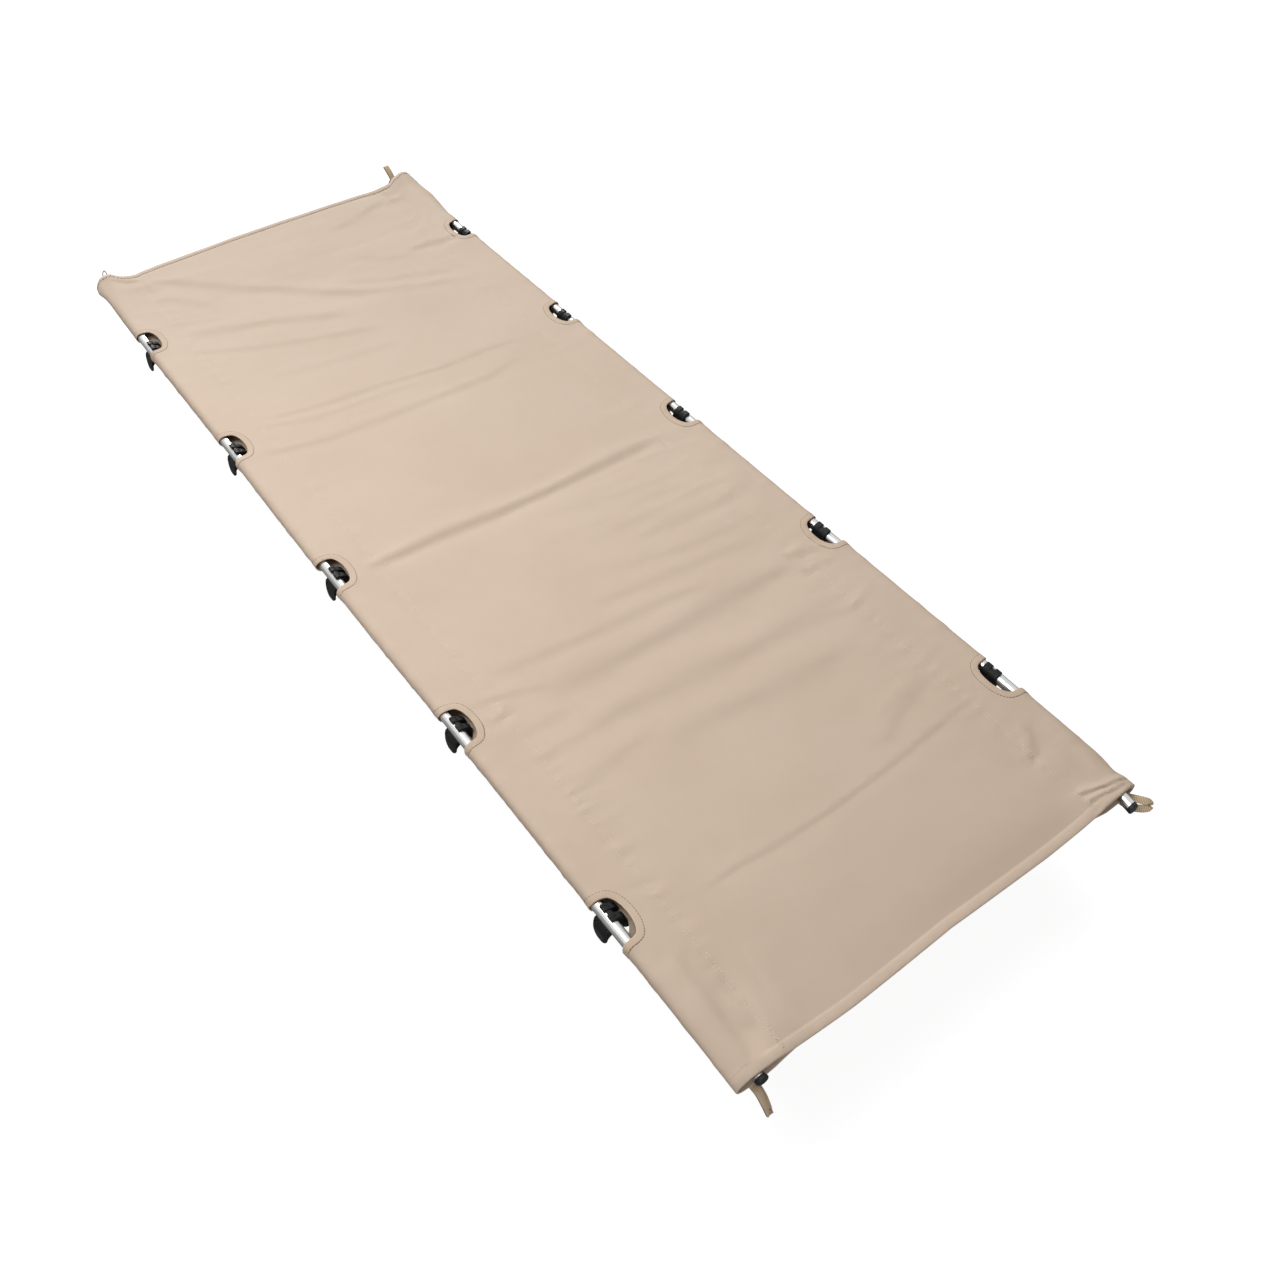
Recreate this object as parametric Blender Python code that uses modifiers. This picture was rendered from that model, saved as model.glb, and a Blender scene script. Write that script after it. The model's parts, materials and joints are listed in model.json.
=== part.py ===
"""Low folding camping cot: one taut cloth on two sectional side poles and five bowed cross legs.

Each leg is a bowed tube with a nylon foot at each end. A short arm rises from each foot to a
moulded clip that hooks the side pole from the inside and over the top. The clips on the -X side
also carry a cam lever that locks the pole in its seat.

X is across the cot, Y along it and Z up. The floor is at Z = 0. All sizes are in metres.
"""
import math

import bmesh
import bpy
from mathutils import Matrix, Vector

# Side poles
POLE_SPACING = 0.632            # between the two pole axes
POLE_HEIGHT = 0.140             # pole axes above the floor
POLE_DIAMETER = 0.016
POLE_WALL = 0.0011
POLE_SECTIONS = 5               # tubes in one pole
POLE_SECTION_LENGTH = 0.377
SECTION_GAP = 0.0003            # between the ends of two tubes
SPIGOT_LENGTH = 0.034           # how far a tube's spigot reaches into the next tube
SPIGOT_ROOT = 0.024             # how far it is held inside its own tube
SPIGOT_WALL = 0.0010
TIP_PULL = 0.0205               # how far the taut cloth bends each pole tip inwards
BEND_LENGTH = 0.2305            # the bent end of each pole
END_CAP_LIP = 0.0055            # cap length outside the tube
END_CAP_PLUG = 0.014            # cap length inside the tube

# Cross legs
LEG_COUNT = 5
END_OVERHANG = 0.2535           # from the end of a pole to the nearest leg
FOOT_INSET = 0.094              # knee of the foot, inwards from the pole axis
KNEE_HEIGHT = 0.026
LEG_TUBE_DIAMETER = 0.012
LEG_TUBE_WALL = 0.0010
BOW_RISE = 0.0135               # rise of the bowed tube at the middle
BOW_STRAIGHT = 0.042            # straight end of the bowed tube, from the knee
FOOT_LENGTH = 0.040             # foot pad, across the cot
FOOT_WIDTH = 0.034              # foot pad, along the cot
FOOT_THICKNESS = 0.0045
FOOT_CORNER = 0.009
KNEE_WALL = 0.0014              # knee barrel outside the sockets
PEDESTAL_WIDTH = 0.013
PEDESTAL_FOOT = 0.031
PEDESTAL_TOP = 0.015
SOCKET_WALL = 0.0021
FOOT_SOCKET_REACH = 0.034       # socket mouth from the knee
FOOT_SOCKET_FLOOR = 0.0125      # bottom of the bore from the knee

# Pole clips
CLIP_WIDTH = 0.0255
CLIP_WALL = 0.0032
FINGER_SLOT = 0.0055            # gap between the two fingers
LEFT_FINGER_ANGLE = 106.0       # fingertips, degrees round the pole from straight inwards
RIGHT_FINGER_ANGLE = 112.0
FINGER_SLOT_ANGLE = 36.0        # where the slot's round end lies
GROOVE_DEPTH = 0.0011
CLIP_SOCKET_MOUTH = 0.042       # along the arm, from the pole axis
CLIP_SOCKET_FLOOR = 0.027
CLIP_SHOULDER = 0.0135
NECK_MARGIN = 0.0006            # clip body outside its socket

# Cam lever
LEVER_PIN_OFFSET = 0.00546      # pin axis from the pole's surface
LEVER_PIN_ANGLE = 248.2         # place of the pin round the pole from straight inwards
LEVER_PIN_RADIUS = 0.00145
LEVER_EAR_RADIUS = 0.0042
LEVER_EAR_THICKNESS = 0.0036
LEVER_KNUCKLE_RADIUS = 0.0039
LEVER_LOBE_SPREAD = 34.0        # half width of the cam lobe, degrees
PADDLE_LENGTH = 0.0245          # from the pin to the tip
PADDLE_THICKNESS = 0.0032
PADDLE_TIP_RADIUS = 0.0121

# Cloth
NEAR_SET_BACK = 0.0080          # ends of the cloth from the ends of the poles
FAR_SET_BACK = 0.0020
CLOTH_THICKNESS = 0.0012
STITCH_INSET = 0.069            # seam of the pole sleeve, inwards from the pole axis
SEAM_OVERLAP = 0.003            # cloth between the sleeve's space and its edge
SHEET_DROP = 0.0020             # cloth below the pole axes at the seam
SHEET_SAG = 0.0030              # further drop at the middle
SLEEVE_SLACK = 0.0120           # spare sleeve outside the pole at its tip
NOTCH_EXTRA_PITCH = 0.0060      # the notches lie this much further apart than the legs
NOTCH_HALF_LENGTH = 0.0315
NOTCH_DEPTH = 0.0208            # inwards from the pole axis
NOTCH_SHOULDER = 0.0055         # where the curved part of the notch starts
CREASE_HEIGHT = 0.0018
CREASE_SPREAD = 0.080

# Pull loops
WEBBING_WIDTH = 0.010
WEBBING_THICKNESS = 0.0013
LOOP_REACH = 0.0240             # beyond the end of the pole cap
LOOP_ROOT = 0.014               # length sewn under the sleeve
LOOP_OUTSIDE = 0.0085           # outwards from the pole tip's axis

# Clearances
POLE_CLEARANCE = 0.00035        # clip or cloth to pole
SOCKET_CLEARANCE = 0.00030      # tube to socket, spigot to tube, pin to hole
PLUG_CLEARANCE = 0.00050        # cap plug to the bent tube
LEVER_CLEARANCE = 0.00035       # lever to the clip's sides and to the pole
SEWN_CLEARANCE = 0.00030        # webbing to cloth

POLE_RADIUS = POLE_DIAMETER / 2
LEG_TUBE_RADIUS = LEG_TUBE_DIAMETER / 2
POLE_X = POLE_SPACING / 2
POLE_HALF_LENGTH = POLE_SECTIONS * POLE_SECTION_LENGTH / 2
POLE_TIP = POLE_HALF_LENGTH + END_CAP_LIP
BEND_START = POLE_HALF_LENGTH - BEND_LENGTH
KNEE_X = POLE_X - FOOT_INSET
SEAT_RADIUS = POLE_RADIUS + POLE_CLEARANCE
CLIP_RADIUS = SEAT_RADIUS + CLIP_WALL
SOCKET_BORE = LEG_TUBE_RADIUS + SOCKET_CLEARANCE
SOCKET_RADIUS = SOCKET_BORE + SOCKET_WALL
KNEE_RADIUS = SOCKET_RADIUS + KNEE_WALL
LEG_PITCH = 2 * (POLE_HALF_LENGTH - END_OVERHANG) / (LEG_COUNT - 1)
COVER_NEAR = NEAR_SET_BACK - POLE_HALF_LENGTH
COVER_FAR = POLE_HALF_LENGTH - FAR_SET_BACK
NOTCH_PITCH = LEG_PITCH + NOTCH_EXTRA_PITCH
PIN_TO_POLE = POLE_RADIUS + LEVER_PIN_OFFSET
LEVER_LOBE_RADIUS = LEVER_PIN_OFFSET - LEVER_CLEARANCE
LEVER_KNUCKLE_WIDTH = CLIP_WIDTH - 2 * (LEVER_EAR_THICKNESS + LEVER_CLEARANCE)
ARM_LENGTH = math.hypot(FOOT_INSET, POLE_HEIGHT - KNEE_HEIGHT)
ARM_SLOPE = math.atan2(POLE_HEIGHT - KNEE_HEIGHT, FOOT_INSET)
ARCH_REACH = KNEE_X - BOW_STRAIGHT
BOW_SLOPE = math.atan(BOW_RISE / (BOW_STRAIGHT + ARCH_REACH / 2))
TUBE_SIDES = 16
LEG_TUBE_SIDES = 12
HUB_SIDES = 12

# Collections

def fresh_collection(name):
    collection = bpy.data.collections.new(name)
    bpy.context.scene.collection.children.link(collection)
    return collection


for leftover in list(bpy.data.objects):
    bpy.data.objects.remove(leftover)
COT = fresh_collection("camping_cot")
CUTTERS = fresh_collection("cutters")


# Materials

def finish(name, colour, roughness, metallic=0.0):
    material = bpy.data.materials.new(name)
    material.use_nodes = True
    shader = material.node_tree.nodes["Principled BSDF"]
    shader.inputs["Base Color"].default_value = (*colour, 1.0)
    shader.inputs["Roughness"].default_value = roughness
    shader.inputs["Metallic"].default_value = metallic
    return material


FINISHES = {
    "cover": ("tan_cloth", (0.60, 0.48, 0.37), 0.85),
    "loop": ("tan_webbing", (0.47, 0.36, 0.24), 0.90),
    "pole": ("pole_aluminium", (0.80, 0.80, 0.79), 0.30, 1.0),
    "cap": ("cap_plastic", (0.03, 0.03, 0.035), 0.55),
    "bow": ("leg_aluminium", (0.76, 0.76, 0.75), 0.35, 1.0),
    "arm": ("arm_aluminium", (0.76, 0.76, 0.75), 0.35, 1.0),
    "foot": ("foot_nylon", (0.03, 0.03, 0.03), 0.60),
    "clip": ("clip_nylon", (0.025, 0.025, 0.027), 0.50),
    "lever": ("lever_nylon", (0.028, 0.028, 0.030), 0.45),
}
MATERIALS = {kind: finish(*values) for kind, values in FINISHES.items()}


# Mesh helpers

def tidy(mesh):
    """Weld a mesh and turn its faces outwards."""
    work = bmesh.new()
    work.from_mesh(mesh)
    bmesh.ops.remove_doubles(work, verts=work.verts, dist=1e-6)
    if work.calc_volume(signed=True) < 0:
        bmesh.ops.reverse_faces(work, faces=work.faces)
    work.to_mesh(mesh)
    work.free()
    return mesh


def baked(obj):
    """The evaluated mesh of an object, in world space. The object is removed."""
    bpy.context.view_layer.update()
    depsgraph = bpy.context.evaluated_depsgraph_get()
    mesh = bpy.data.meshes.new_from_object(obj.evaluated_get(depsgraph))
    mesh.transform(obj.matrix_world)
    bpy.data.objects.remove(obj)
    return tidy(mesh)


def helper_object(name, data, matrix=Matrix.Identity(4)):
    obj = bpy.data.objects.new(name, data)
    obj.matrix_world = matrix
    CUTTERS.objects.link(obj)
    obj.hide_render = True
    obj.display_type = "WIRE"
    return obj


def plate(points, thickness, matrix=Matrix.Identity(4)):
    """A flat outline in local XY, extruded evenly to both sides of its plane."""
    curve = bpy.data.curves.new("outline", "CURVE")
    curve.dimensions = "2D"
    curve.fill_mode = "BOTH"
    curve.extrude = thickness / 2
    spline = curve.splines.new("POLY")
    spline.points.add(len(points) - 1)
    for point, (x, y) in zip(spline.points, points):
        point.co = (x, y, 0.0, 1.0)
    spline.use_cyclic_u = True
    return baked(helper_object("outline", curve, matrix))


def turned(profile, sides, matrix=Matrix.Identity(4), closed=False):
    """A profile of (radius, height) points turned about local Z."""
    mesh = bpy.data.meshes.new("profile")
    last = len(profile) - 1
    edges = [(i, i + 1) for i in range(last)]
    if closed:
        edges.append((last, 0))
    mesh.from_pydata([(r, 0.0, z) for r, z in profile], edges, [])
    obj = helper_object("profile", mesh, matrix)
    screw = obj.modifiers.new("turn", "SCREW")
    screw.axis = "Z"
    screw.steps = sides
    screw.render_steps = sides
    screw.use_merge_vertices = True
    screw.merge_threshold = 1e-5
    return baked(obj)


def rod(radius, start, end, sides):
    """A solid round bar between two points."""
    start = Vector(start)
    end = Vector(end)
    length = (end - start).length
    profile = [(0.0, length), (radius, length), (radius, 0.0), (0.0, 0.0)]
    return turned(profile, sides, along(start, end))


def along(start, end):
    """A matrix that puts local Z on the line from start to end."""
    turn = (Vector(end) - Vector(start)).to_track_quat("Z", "Y").to_matrix().to_4x4()
    return Matrix.Translation(start) @ turn


def combined(base, unions=(), cuts=()):
    """Join and cut meshes with exact Booleans."""
    obj = helper_object("blank", base)
    tools = []
    for operation, meshes in (("UNION", unions), ("DIFFERENCE", cuts)):
        for mesh in meshes:
            tool = helper_object("tool", mesh)
            step = obj.modifiers.new(operation.lower(), "BOOLEAN")
            step.operation = operation
            step.solver = "EXACT"
            step.object = tool
            tools.append(tool)
    mesh = baked(obj)
    for tool in tools:
        bpy.data.objects.remove(tool)
    return mesh


def moved(mesh, matrix):
    copy = mesh.copy()
    copy.transform(matrix)
    return tidy(copy)


def place(name, kind, mesh, location=(0.0, 0.0, 0.0), parent=None, crease=35.0):
    """Add a finished piece to the cot."""
    mesh.name = name
    if not mesh.materials:
        mesh.materials.append(MATERIALS[kind])
    mesh.shade_smooth()
    mesh.set_sharp_from_angle(angle=math.radians(crease))
    obj = bpy.data.objects.new(name, mesh)
    COT.objects.link(obj)
    obj.location = location
    obj.parent = parent
    return obj


def polar(radius, degrees, centre=(0.0, 0.0)):
    angle = math.radians(degrees)
    return (centre[0] + radius * math.cos(angle), centre[1] + radius * math.sin(angle))


def arc(radius, first, last, steps, centre=(0.0, 0.0)):
    return [polar(radius, first + (last - first) * i / steps, centre) for i in range(steps + 1)]


SIDE_ON = Matrix.Rotation(math.radians(90), 4, "X")      # outline XY to world XZ
MIRROR_X = Matrix.Scale(-1.0, 4, (1.0, 0.0, 0.0))


# Side poles

def tip_shift(y):
    """How far the pole axis is bent inwards at y."""
    reach = max(0.0, abs(y) - BEND_START) / BEND_LENGTH
    return TIP_PULL * reach * reach


def bend_inwards(mesh, side):
    for vertex in mesh.vertices:
        vertex.co.x -= side * tip_shift(vertex.co.y)
    return mesh


def wall_points(radius, start, end, bent):
    """Points along one wall of a tube, with more of them where it bends."""
    steps = 6 if bent else 1
    return [(radius, start + (end - start) * i / steps) for i in range(steps + 1)]


def pole_section(index, side):
    start = -POLE_HALF_LENGTH + index * POLE_SECTION_LENGTH
    end = start + POLE_SECTION_LENGTH
    first = index == 0
    last = index == POLE_SECTIONS - 1
    bent = first or last
    inner = POLE_RADIUS - POLE_WALL
    tube_end = end if last else end - SECTION_GAP
    profile = wall_points(POLE_RADIUS, tube_end, start, bent)
    if last:
        profile += wall_points(inner, start, tube_end, bent)
    else:
        spigot = inner - SOCKET_CLEARANCE
        profile += wall_points(inner, start, end - SPIGOT_ROOT, bent)
        profile += [
            (spigot - SPIGOT_WALL, end - SPIGOT_ROOT),
            (spigot - SPIGOT_WALL, end + SPIGOT_LENGTH),
            (spigot, end + SPIGOT_LENGTH),
            (spigot, tube_end),
        ]
    upright = Matrix.Rotation(math.radians(-90), 4, "X")      # local Z to world Y
    mesh = turned(profile, TUBE_SIDES, upright, closed=True)
    mesh.transform(Matrix.Translation((side * POLE_X, 0.0, POLE_HEIGHT)))
    return bend_inwards(mesh, side)


def end_cap(side, end):
    """A plug with a lip as wide as the tube and a chamfered face."""
    inner = POLE_RADIUS - POLE_WALL - PLUG_CLEARANCE
    chamfer = 0.0013
    face = POLE_HALF_LENGTH + SECTION_GAP
    profile = [
        (0.0, POLE_TIP),
        (POLE_RADIUS - chamfer, POLE_TIP),
        (POLE_RADIUS, POLE_TIP - chamfer),
        (POLE_RADIUS, face),
        (inner, face),
        (inner, POLE_HALF_LENGTH - END_CAP_PLUG),
        (0.0, POLE_HALF_LENGTH - END_CAP_PLUG),
    ]
    mesh = turned(profile, TUBE_SIDES, Matrix.Rotation(math.radians(-90 * end), 4, "X"))
    mesh.transform(Matrix.Translation((side * POLE_X, 0.0, POLE_HEIGHT)))
    return bend_inwards(mesh, side)


# Cross legs, drawn for the -X side: +X is inwards, and the pole axis is at x = z = 0

ARM_DIRECTION = Vector((math.cos(ARM_SLOPE), 0.0, -math.sin(ARM_SLOPE)))
ARM_NORMAL = Vector((math.sin(ARM_SLOPE), 0.0, math.cos(ARM_SLOPE)))



LEVER_PIN = polar(PIN_TO_POLE, LEVER_PIN_ANGLE)


def on_arm(distance, offset=0.0):
    point = ARM_DIRECTION * distance + ARM_NORMAL * offset
    return (point.x, point.z)


def in_depth(point, y=0.0):
    return (point[0], y, point[1])


def arm_tube():
    start = CLIP_SOCKET_FLOOR + SOCKET_CLEARANCE
    end = ARM_LENGTH - FOOT_SOCKET_FLOOR - SOCKET_CLEARANCE
    inner = LEG_TUBE_RADIUS - LEG_TUBE_WALL
    profile = [(LEG_TUBE_RADIUS, end), (LEG_TUBE_RADIUS, start), (inner, start), (inner, end)]
    return turned(profile, LEG_TUBE_SIDES, along((0.0, 0.0, 0.0), ARM_DIRECTION), closed=True)


def bow_rise(x):
    """Height of the bowed tube above the knees: straight ends with an arch between them."""
    if abs(x) > ARCH_REACH:
        return (KNEE_X - abs(x)) * math.tan(BOW_SLOPE)
    return BOW_RISE - math.tan(BOW_SLOPE) * x * x / (2 * ARCH_REACH)


def bow_lean(x):
    steep = max(-1.0, min(1.0, x / ARCH_REACH))
    return -math.atan(math.tan(BOW_SLOPE) * steep)


def bow_tube():
    reach = KNEE_X - (FOOT_SOCKET_FLOOR + SOCKET_CLEARANCE) * math.cos(BOW_SLOPE)
    stops = [-reach] + [ARCH_REACH * i / 2 for i in range(-2, 3)] + [reach]
    inner = LEG_TUBE_RADIUS - LEG_TUBE_WALL
    profile = [(LEG_TUBE_RADIUS, x) for x in reversed(stops)] + [(inner, x) for x in stops]
    mesh = turned(profile, LEG_TUBE_SIDES, Matrix.Rotation(math.radians(90), 4, "Y"), closed=True)
    for vertex in mesh.vertices:
        x, y, z = vertex.co
        lean = bow_lean(x)
        vertex.co = (x - z * math.sin(lean), y, KNEE_HEIGHT + bow_rise(x) + z * math.cos(lean))
    return mesh


def rounded_rectangle(length, width, corner, steps=3):
    points = []
    for sx, sy, first in ((1, 1, 0), (-1, 1, 90), (-1, -1, 180), (1, -1, 270)):
        centre = (sx * (length / 2 - corner), sy * (width / 2 - corner))
        points += arc(corner, first, first + 90, steps, centre)
    return points


def foot():
    """Foot of the -X side, with its knee at x = 0."""
    knee = Vector((0.0, 0.0, KNEE_HEIGHT))
    to_arm = -ARM_DIRECTION
    to_bow = Vector((math.cos(BOW_SLOPE), 0.0, math.sin(BOW_SLOPE)))
    half = Vector((0.0, KNEE_RADIUS, 0.0))
    pad = plate(rounded_rectangle(FOOT_LENGTH, FOOT_WIDTH, FOOT_CORNER), FOOT_THICKNESS,
                Matrix.Translation((0.0, 0.0, FOOT_THICKNESS / 2)))
    pedestal = plate([(-PEDESTAL_FOOT / 2, FOOT_THICKNESS / 2), (PEDESTAL_FOOT / 2, FOOT_THICKNESS / 2),
                      (PEDESTAL_TOP / 2, KNEE_HEIGHT), (-PEDESTAL_TOP / 2, KNEE_HEIGHT)],
                     PEDESTAL_WIDTH, SIDE_ON)
    barrel = rod(KNEE_RADIUS, knee - half, knee + half, HUB_SIDES)
    unions = [pedestal, barrel]
    cuts = []
    for direction in (to_arm, to_bow):
        unions.append(rod(SOCKET_RADIUS, knee, knee + direction * FOOT_SOCKET_REACH, HUB_SIDES))
        cuts.append(rod(SOCKET_BORE, knee + direction * FOOT_SOCKET_FLOOR,
                        knee + direction * (FOOT_SOCKET_REACH + SOCKET_WALL), HUB_SIDES))
    return combined(pad, unions, cuts)


def clip_outline(with_ear):
    """Ring round the pole with a shoulder for the arm, as seen along the pole."""
    jaw_end = -112.0
    tip_angle = LEFT_FINGER_ANGLE if with_ear else RIGHT_FINGER_ANGLE
    points = [polar(CLIP_RADIUS - 0.0011, tip_angle)]
    points += arc(CLIP_RADIUS, tip_angle - 16, 18.0, 4)
    neck = SOCKET_RADIUS + NECK_MARGIN
    points += [on_arm(CLIP_SHOULDER, neck), on_arm(CLIP_SHOULDER, -neck)]
    if with_ear:
        pin_reach = ARM_DIRECTION.dot(Vector(in_depth(LEVER_PIN)))
        points += [on_arm(pin_reach + LEVER_EAR_RADIUS, -neck)]
        points += arc(LEVER_EAR_RADIUS, -math.degrees(ARM_SLOPE), -230.0, 5, LEVER_PIN)
    else:
        points += [on_arm(CLIP_RADIUS, -neck), polar(CLIP_RADIUS, -106.0)]
    points += arc(SEAT_RADIUS, jaw_end, tip_angle, 9)
    return points


def clip(with_ear):
    body = plate(clip_outline(with_ear), CLIP_WIDTH, SIDE_ON)
    socket = rod(SOCKET_RADIUS, in_depth(on_arm(CLIP_SHOULDER - 0.0025)),
                 in_depth(on_arm(CLIP_SOCKET_MOUTH)), HUB_SIDES)
    bore = rod(SOCKET_BORE, in_depth(on_arm(CLIP_SOCKET_FLOOR)),
               in_depth(on_arm(CLIP_SOCKET_MOUTH + SOCKET_WALL)), HUB_SIDES)
    beyond = CLIP_RADIUS * 2
    slot = plate([polar(SEAT_RADIUS / 4, 70.0), polar(beyond, FINGER_SLOT_ANGLE),
                  polar(beyond * 1.4, 80.0), polar(beyond * 1.4, 120.0), polar(beyond, 160.0)],
                 FINGER_SLOT, SIDE_ON)
    slot_end = rod(FINGER_SLOT * 0.48, in_depth(polar(SEAT_RADIUS / 4, FINGER_SLOT_ANGLE)),
                   in_depth(polar(beyond, FINGER_SLOT_ANGLE)), 8)
    groove_floor = CLIP_RADIUS - GROOVE_DEPTH
    groove = plate(arc(beyond, 60.0, -14.0, 1) + arc(groove_floor, -14.0, 60.0, 3),
                   FINGER_SLOT * 0.88, SIDE_ON)
    cuts = [bore, slot, slot_end, groove]
    if with_ear:
        space = LEVER_LOBE_RADIUS + LEVER_CLEARANCE
        width = LEVER_KNUCKLE_WIDTH / 2 + LEVER_CLEARANCE
        cuts.append(rod(space, in_depth(LEVER_PIN, -width), in_depth(LEVER_PIN, width), HUB_SIDES))
        hole = LEVER_PIN_RADIUS + SOCKET_CLEARANCE
        cuts.append(rod(hole, in_depth(LEVER_PIN, -CLIP_WIDTH), in_depth(LEVER_PIN, CLIP_WIDTH), 8))
    return combined(body, [socket], cuts)


# Cam lever, with its pin axis at x = z = 0

def lever():
    """A cam between two trunnions, with a thumb paddle that hangs from it."""
    towards_pole = LEVER_PIN_ANGLE - 180.0
    cam = arc(LEVER_LOBE_RADIUS, towards_pole - LEVER_LOBE_SPREAD, towards_pole + LEVER_LOBE_SPREAD * 0.4, 3)
    cam += arc(LEVER_KNUCKLE_RADIUS, towards_pole + LEVER_LOBE_SPREAD, towards_pole + 286.0, 6)
    knuckle = plate(cam, LEVER_KNUCKLE_WIDTH, SIDE_ON)
    trunnion_reach = CLIP_WIDTH / 2 - 0.0006
    trunnions = rod(LEVER_PIN_RADIUS, (0.0, -trunnion_reach, 0.0), (0.0, trunnion_reach, 0.0), 8)
    neck = LEVER_KNUCKLE_WIDTH / 2
    shoulder = CLIP_WIDTH / 2
    below_ears = -(LEVER_EAR_RADIUS + LEVER_CLEARANCE)
    tip_centre = (0.0, PADDLE_TIP_RADIUS - PADDLE_LENGTH)
    half = [(neck, 0.0), (neck, below_ears), (shoulder - 0.0008, below_ears), (shoulder, below_ears - 0.0012),
            (shoulder - 0.0006, below_ears - 0.0050)]
    half += arc(PADDLE_TIP_RADIUS, -8.0, -80.0, 4, tip_centre)
    outline = half + [(-x, z) for x, z in reversed(half)]
    end_on = Matrix.Rotation(math.radians(90), 4, "Z") @ SIDE_ON      # outline XY to world YZ
    paddle = plate(outline, PADDLE_THICKNESS, end_on)
    return combined(knuckle, [paddle, trunnions])


# Cloth

def crease(y):
    """Shallow ridges across the cloth between opposite notches, with a dip on each side."""
    height = 0.0
    for k in range(LEG_COUNT):
        offset = (y - (k - (LEG_COUNT - 1) / 2) * NOTCH_PITCH) / CREASE_SPREAD
        if abs(offset) < 2.0:
            height += CREASE_HEIGHT * math.cos(offset * math.pi * 0.75) * (1.0 - abs(offset) / 2.0)
    return height


def sleeve_space(y, grow):
    """Half section of the sleeve round the pole of the +X side: a wedge with a round outer end."""
    centre = POLE_X - tip_shift(y)
    spare = SLEEVE_SLACK * tip_shift(y) / TIP_PULL
    radius = SEAT_RADIUS / math.cos(math.radians(15)) + grow
    return [(centre + (radius + spare) * math.cos(a), radius * math.sin(a))
            for a in (math.radians(90 - 30 * i) for i in range(7))]


def cover_section(y):
    """Closed section of the cloth at y, as (x, height from the pole axes) points."""
    t = CLOTH_THICKNESS
    seam = POLE_X - STITCH_INSET
    fold = crease(y)
    right = [(seam, t / 2 - SHEET_DROP)]
    right += sleeve_space(y, t)
    right += [(seam + SEAM_OVERLAP, -SHEET_DROP - 1.5 * t), (seam, -SHEET_DROP - t / 2)]
    inner = []
    for share in (0.55, 0.0, -0.55):
        height = -SHEET_DROP - SHEET_SAG * (1.0 - share * share) + fold * (1.0 - share * share * 0.5)
        inner.append((seam * share, height))
    top = [(x, z + t / 2) for x, z in reversed(inner)]
    bottom = [(x, z - t / 2) for x, z in inner]
    left = [(-x, z) for x, z in reversed(right)]
    return top + right + bottom + left


def pocket_section(y):
    seam = POLE_X - STITCH_INSET + SEAM_OVERLAP
    return sleeve_space(y, 0.0) + [(seam, -SHEET_DROP - CLOTH_THICKNESS / 2)]


def loft(sections, positions):
    """A closed skin through like sections across X and Z, one for each position along Y."""
    work = bmesh.new()
    rings = [[work.verts.new((x, y, z + POLE_HEIGHT)) for x, z in section]
             for section, y in zip(sections, positions)]
    count = len(rings[0])
    for near, far in zip(rings, rings[1:]):
        for i in range(count):
            j = (i + 1) % count
            work.faces.new((near[i], near[j], far[j], far[i]))
    for ring in (rings[0], rings[-1]):
        bmesh.ops.triangulate(work, faces=[work.faces.new(ring)], ngon_method="EAR_CLIP")
    bmesh.ops.recalc_face_normals(work, faces=work.faces)
    mesh = bpy.data.meshes.new("loft")
    work.to_mesh(mesh)
    work.free()
    return tidy(mesh)


def bend_stations():
    """Places along Y where the outline of the cloth changes."""
    spans = [BEND_START + BEND_LENGTH * share for share in (0.0, 0.3, 0.55, 0.78)]
    return sorted([-y for y in spans] + spans)


def joined(meshes):
    work = bmesh.new()
    for mesh in meshes:
        work.from_mesh(mesh)
    mesh = bpy.data.meshes.new("joined")
    work.to_mesh(mesh)
    work.free()
    return mesh


def notch_outline():
    """D-shaped cut-out: x is inwards from the pole axis, y along the pole."""
    beyond = POLE_DIAMETER * 1.5
    points = [(-beyond, -NOTCH_HALF_LENGTH)]
    for i in range(7):
        turn = math.radians(30.0 * i)
        inwards = NOTCH_SHOULDER + (NOTCH_DEPTH - NOTCH_SHOULDER) * math.sin(turn) ** 0.7
        points.append((inwards, -NOTCH_HALF_LENGTH * math.cos(turn)))
    points.append((-beyond, NOTCH_HALF_LENGTH))
    return points


def cover():
    ridges = [(k / 2 - (LEG_COUNT - 1) / 2) * NOTCH_PITCH for k in range(LEG_COUNT * 2 - 1)]
    stations = sorted([COVER_NEAR, COVER_FAR] + bend_stations() + ridges)
    blank = loft([cover_section(y) for y in stations], stations)
    margin = 0.02
    inside = [COVER_NEAR - margin, COVER_NEAR] + bend_stations() + [COVER_FAR, COVER_FAR + margin]
    pocket = loft([pocket_section(y) for y in inside], inside)
    pockets = joined([pocket, moved(pocket, MIRROR_X)])
    shape = plate(notch_outline(), POLE_DIAMETER * 3)
    notches = []
    for k in range(LEG_COUNT):
        y = (k - (LEG_COUNT - 1) / 2) * NOTCH_PITCH
        notches.append(moved(shape, Matrix.Translation((-POLE_X, y, POLE_HEIGHT))))
        notches.append(moved(shape, Matrix.Translation((POLE_X, y, POLE_HEIGHT)) @ MIRROR_X))
    return combined(blank, cuts=[pockets, joined(notches)])


# Pull loops

def band(path, thickness):
    """Outline of a strip of even thickness along an open path of (y, z) points."""
    left = []
    right = []
    for i, point in enumerate(path):
        before = Vector(path[max(i - 1, 0)])
        after = Vector(path[min(i + 1, len(path) - 1)])
        run = (after - before).normalized()
        normal = Vector((-run.y, run.x)) * thickness / 2
        left.append(tuple(Vector(point) + normal))
        right.append(tuple(Vector(point) - normal))
    return left + right[::-1]


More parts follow.
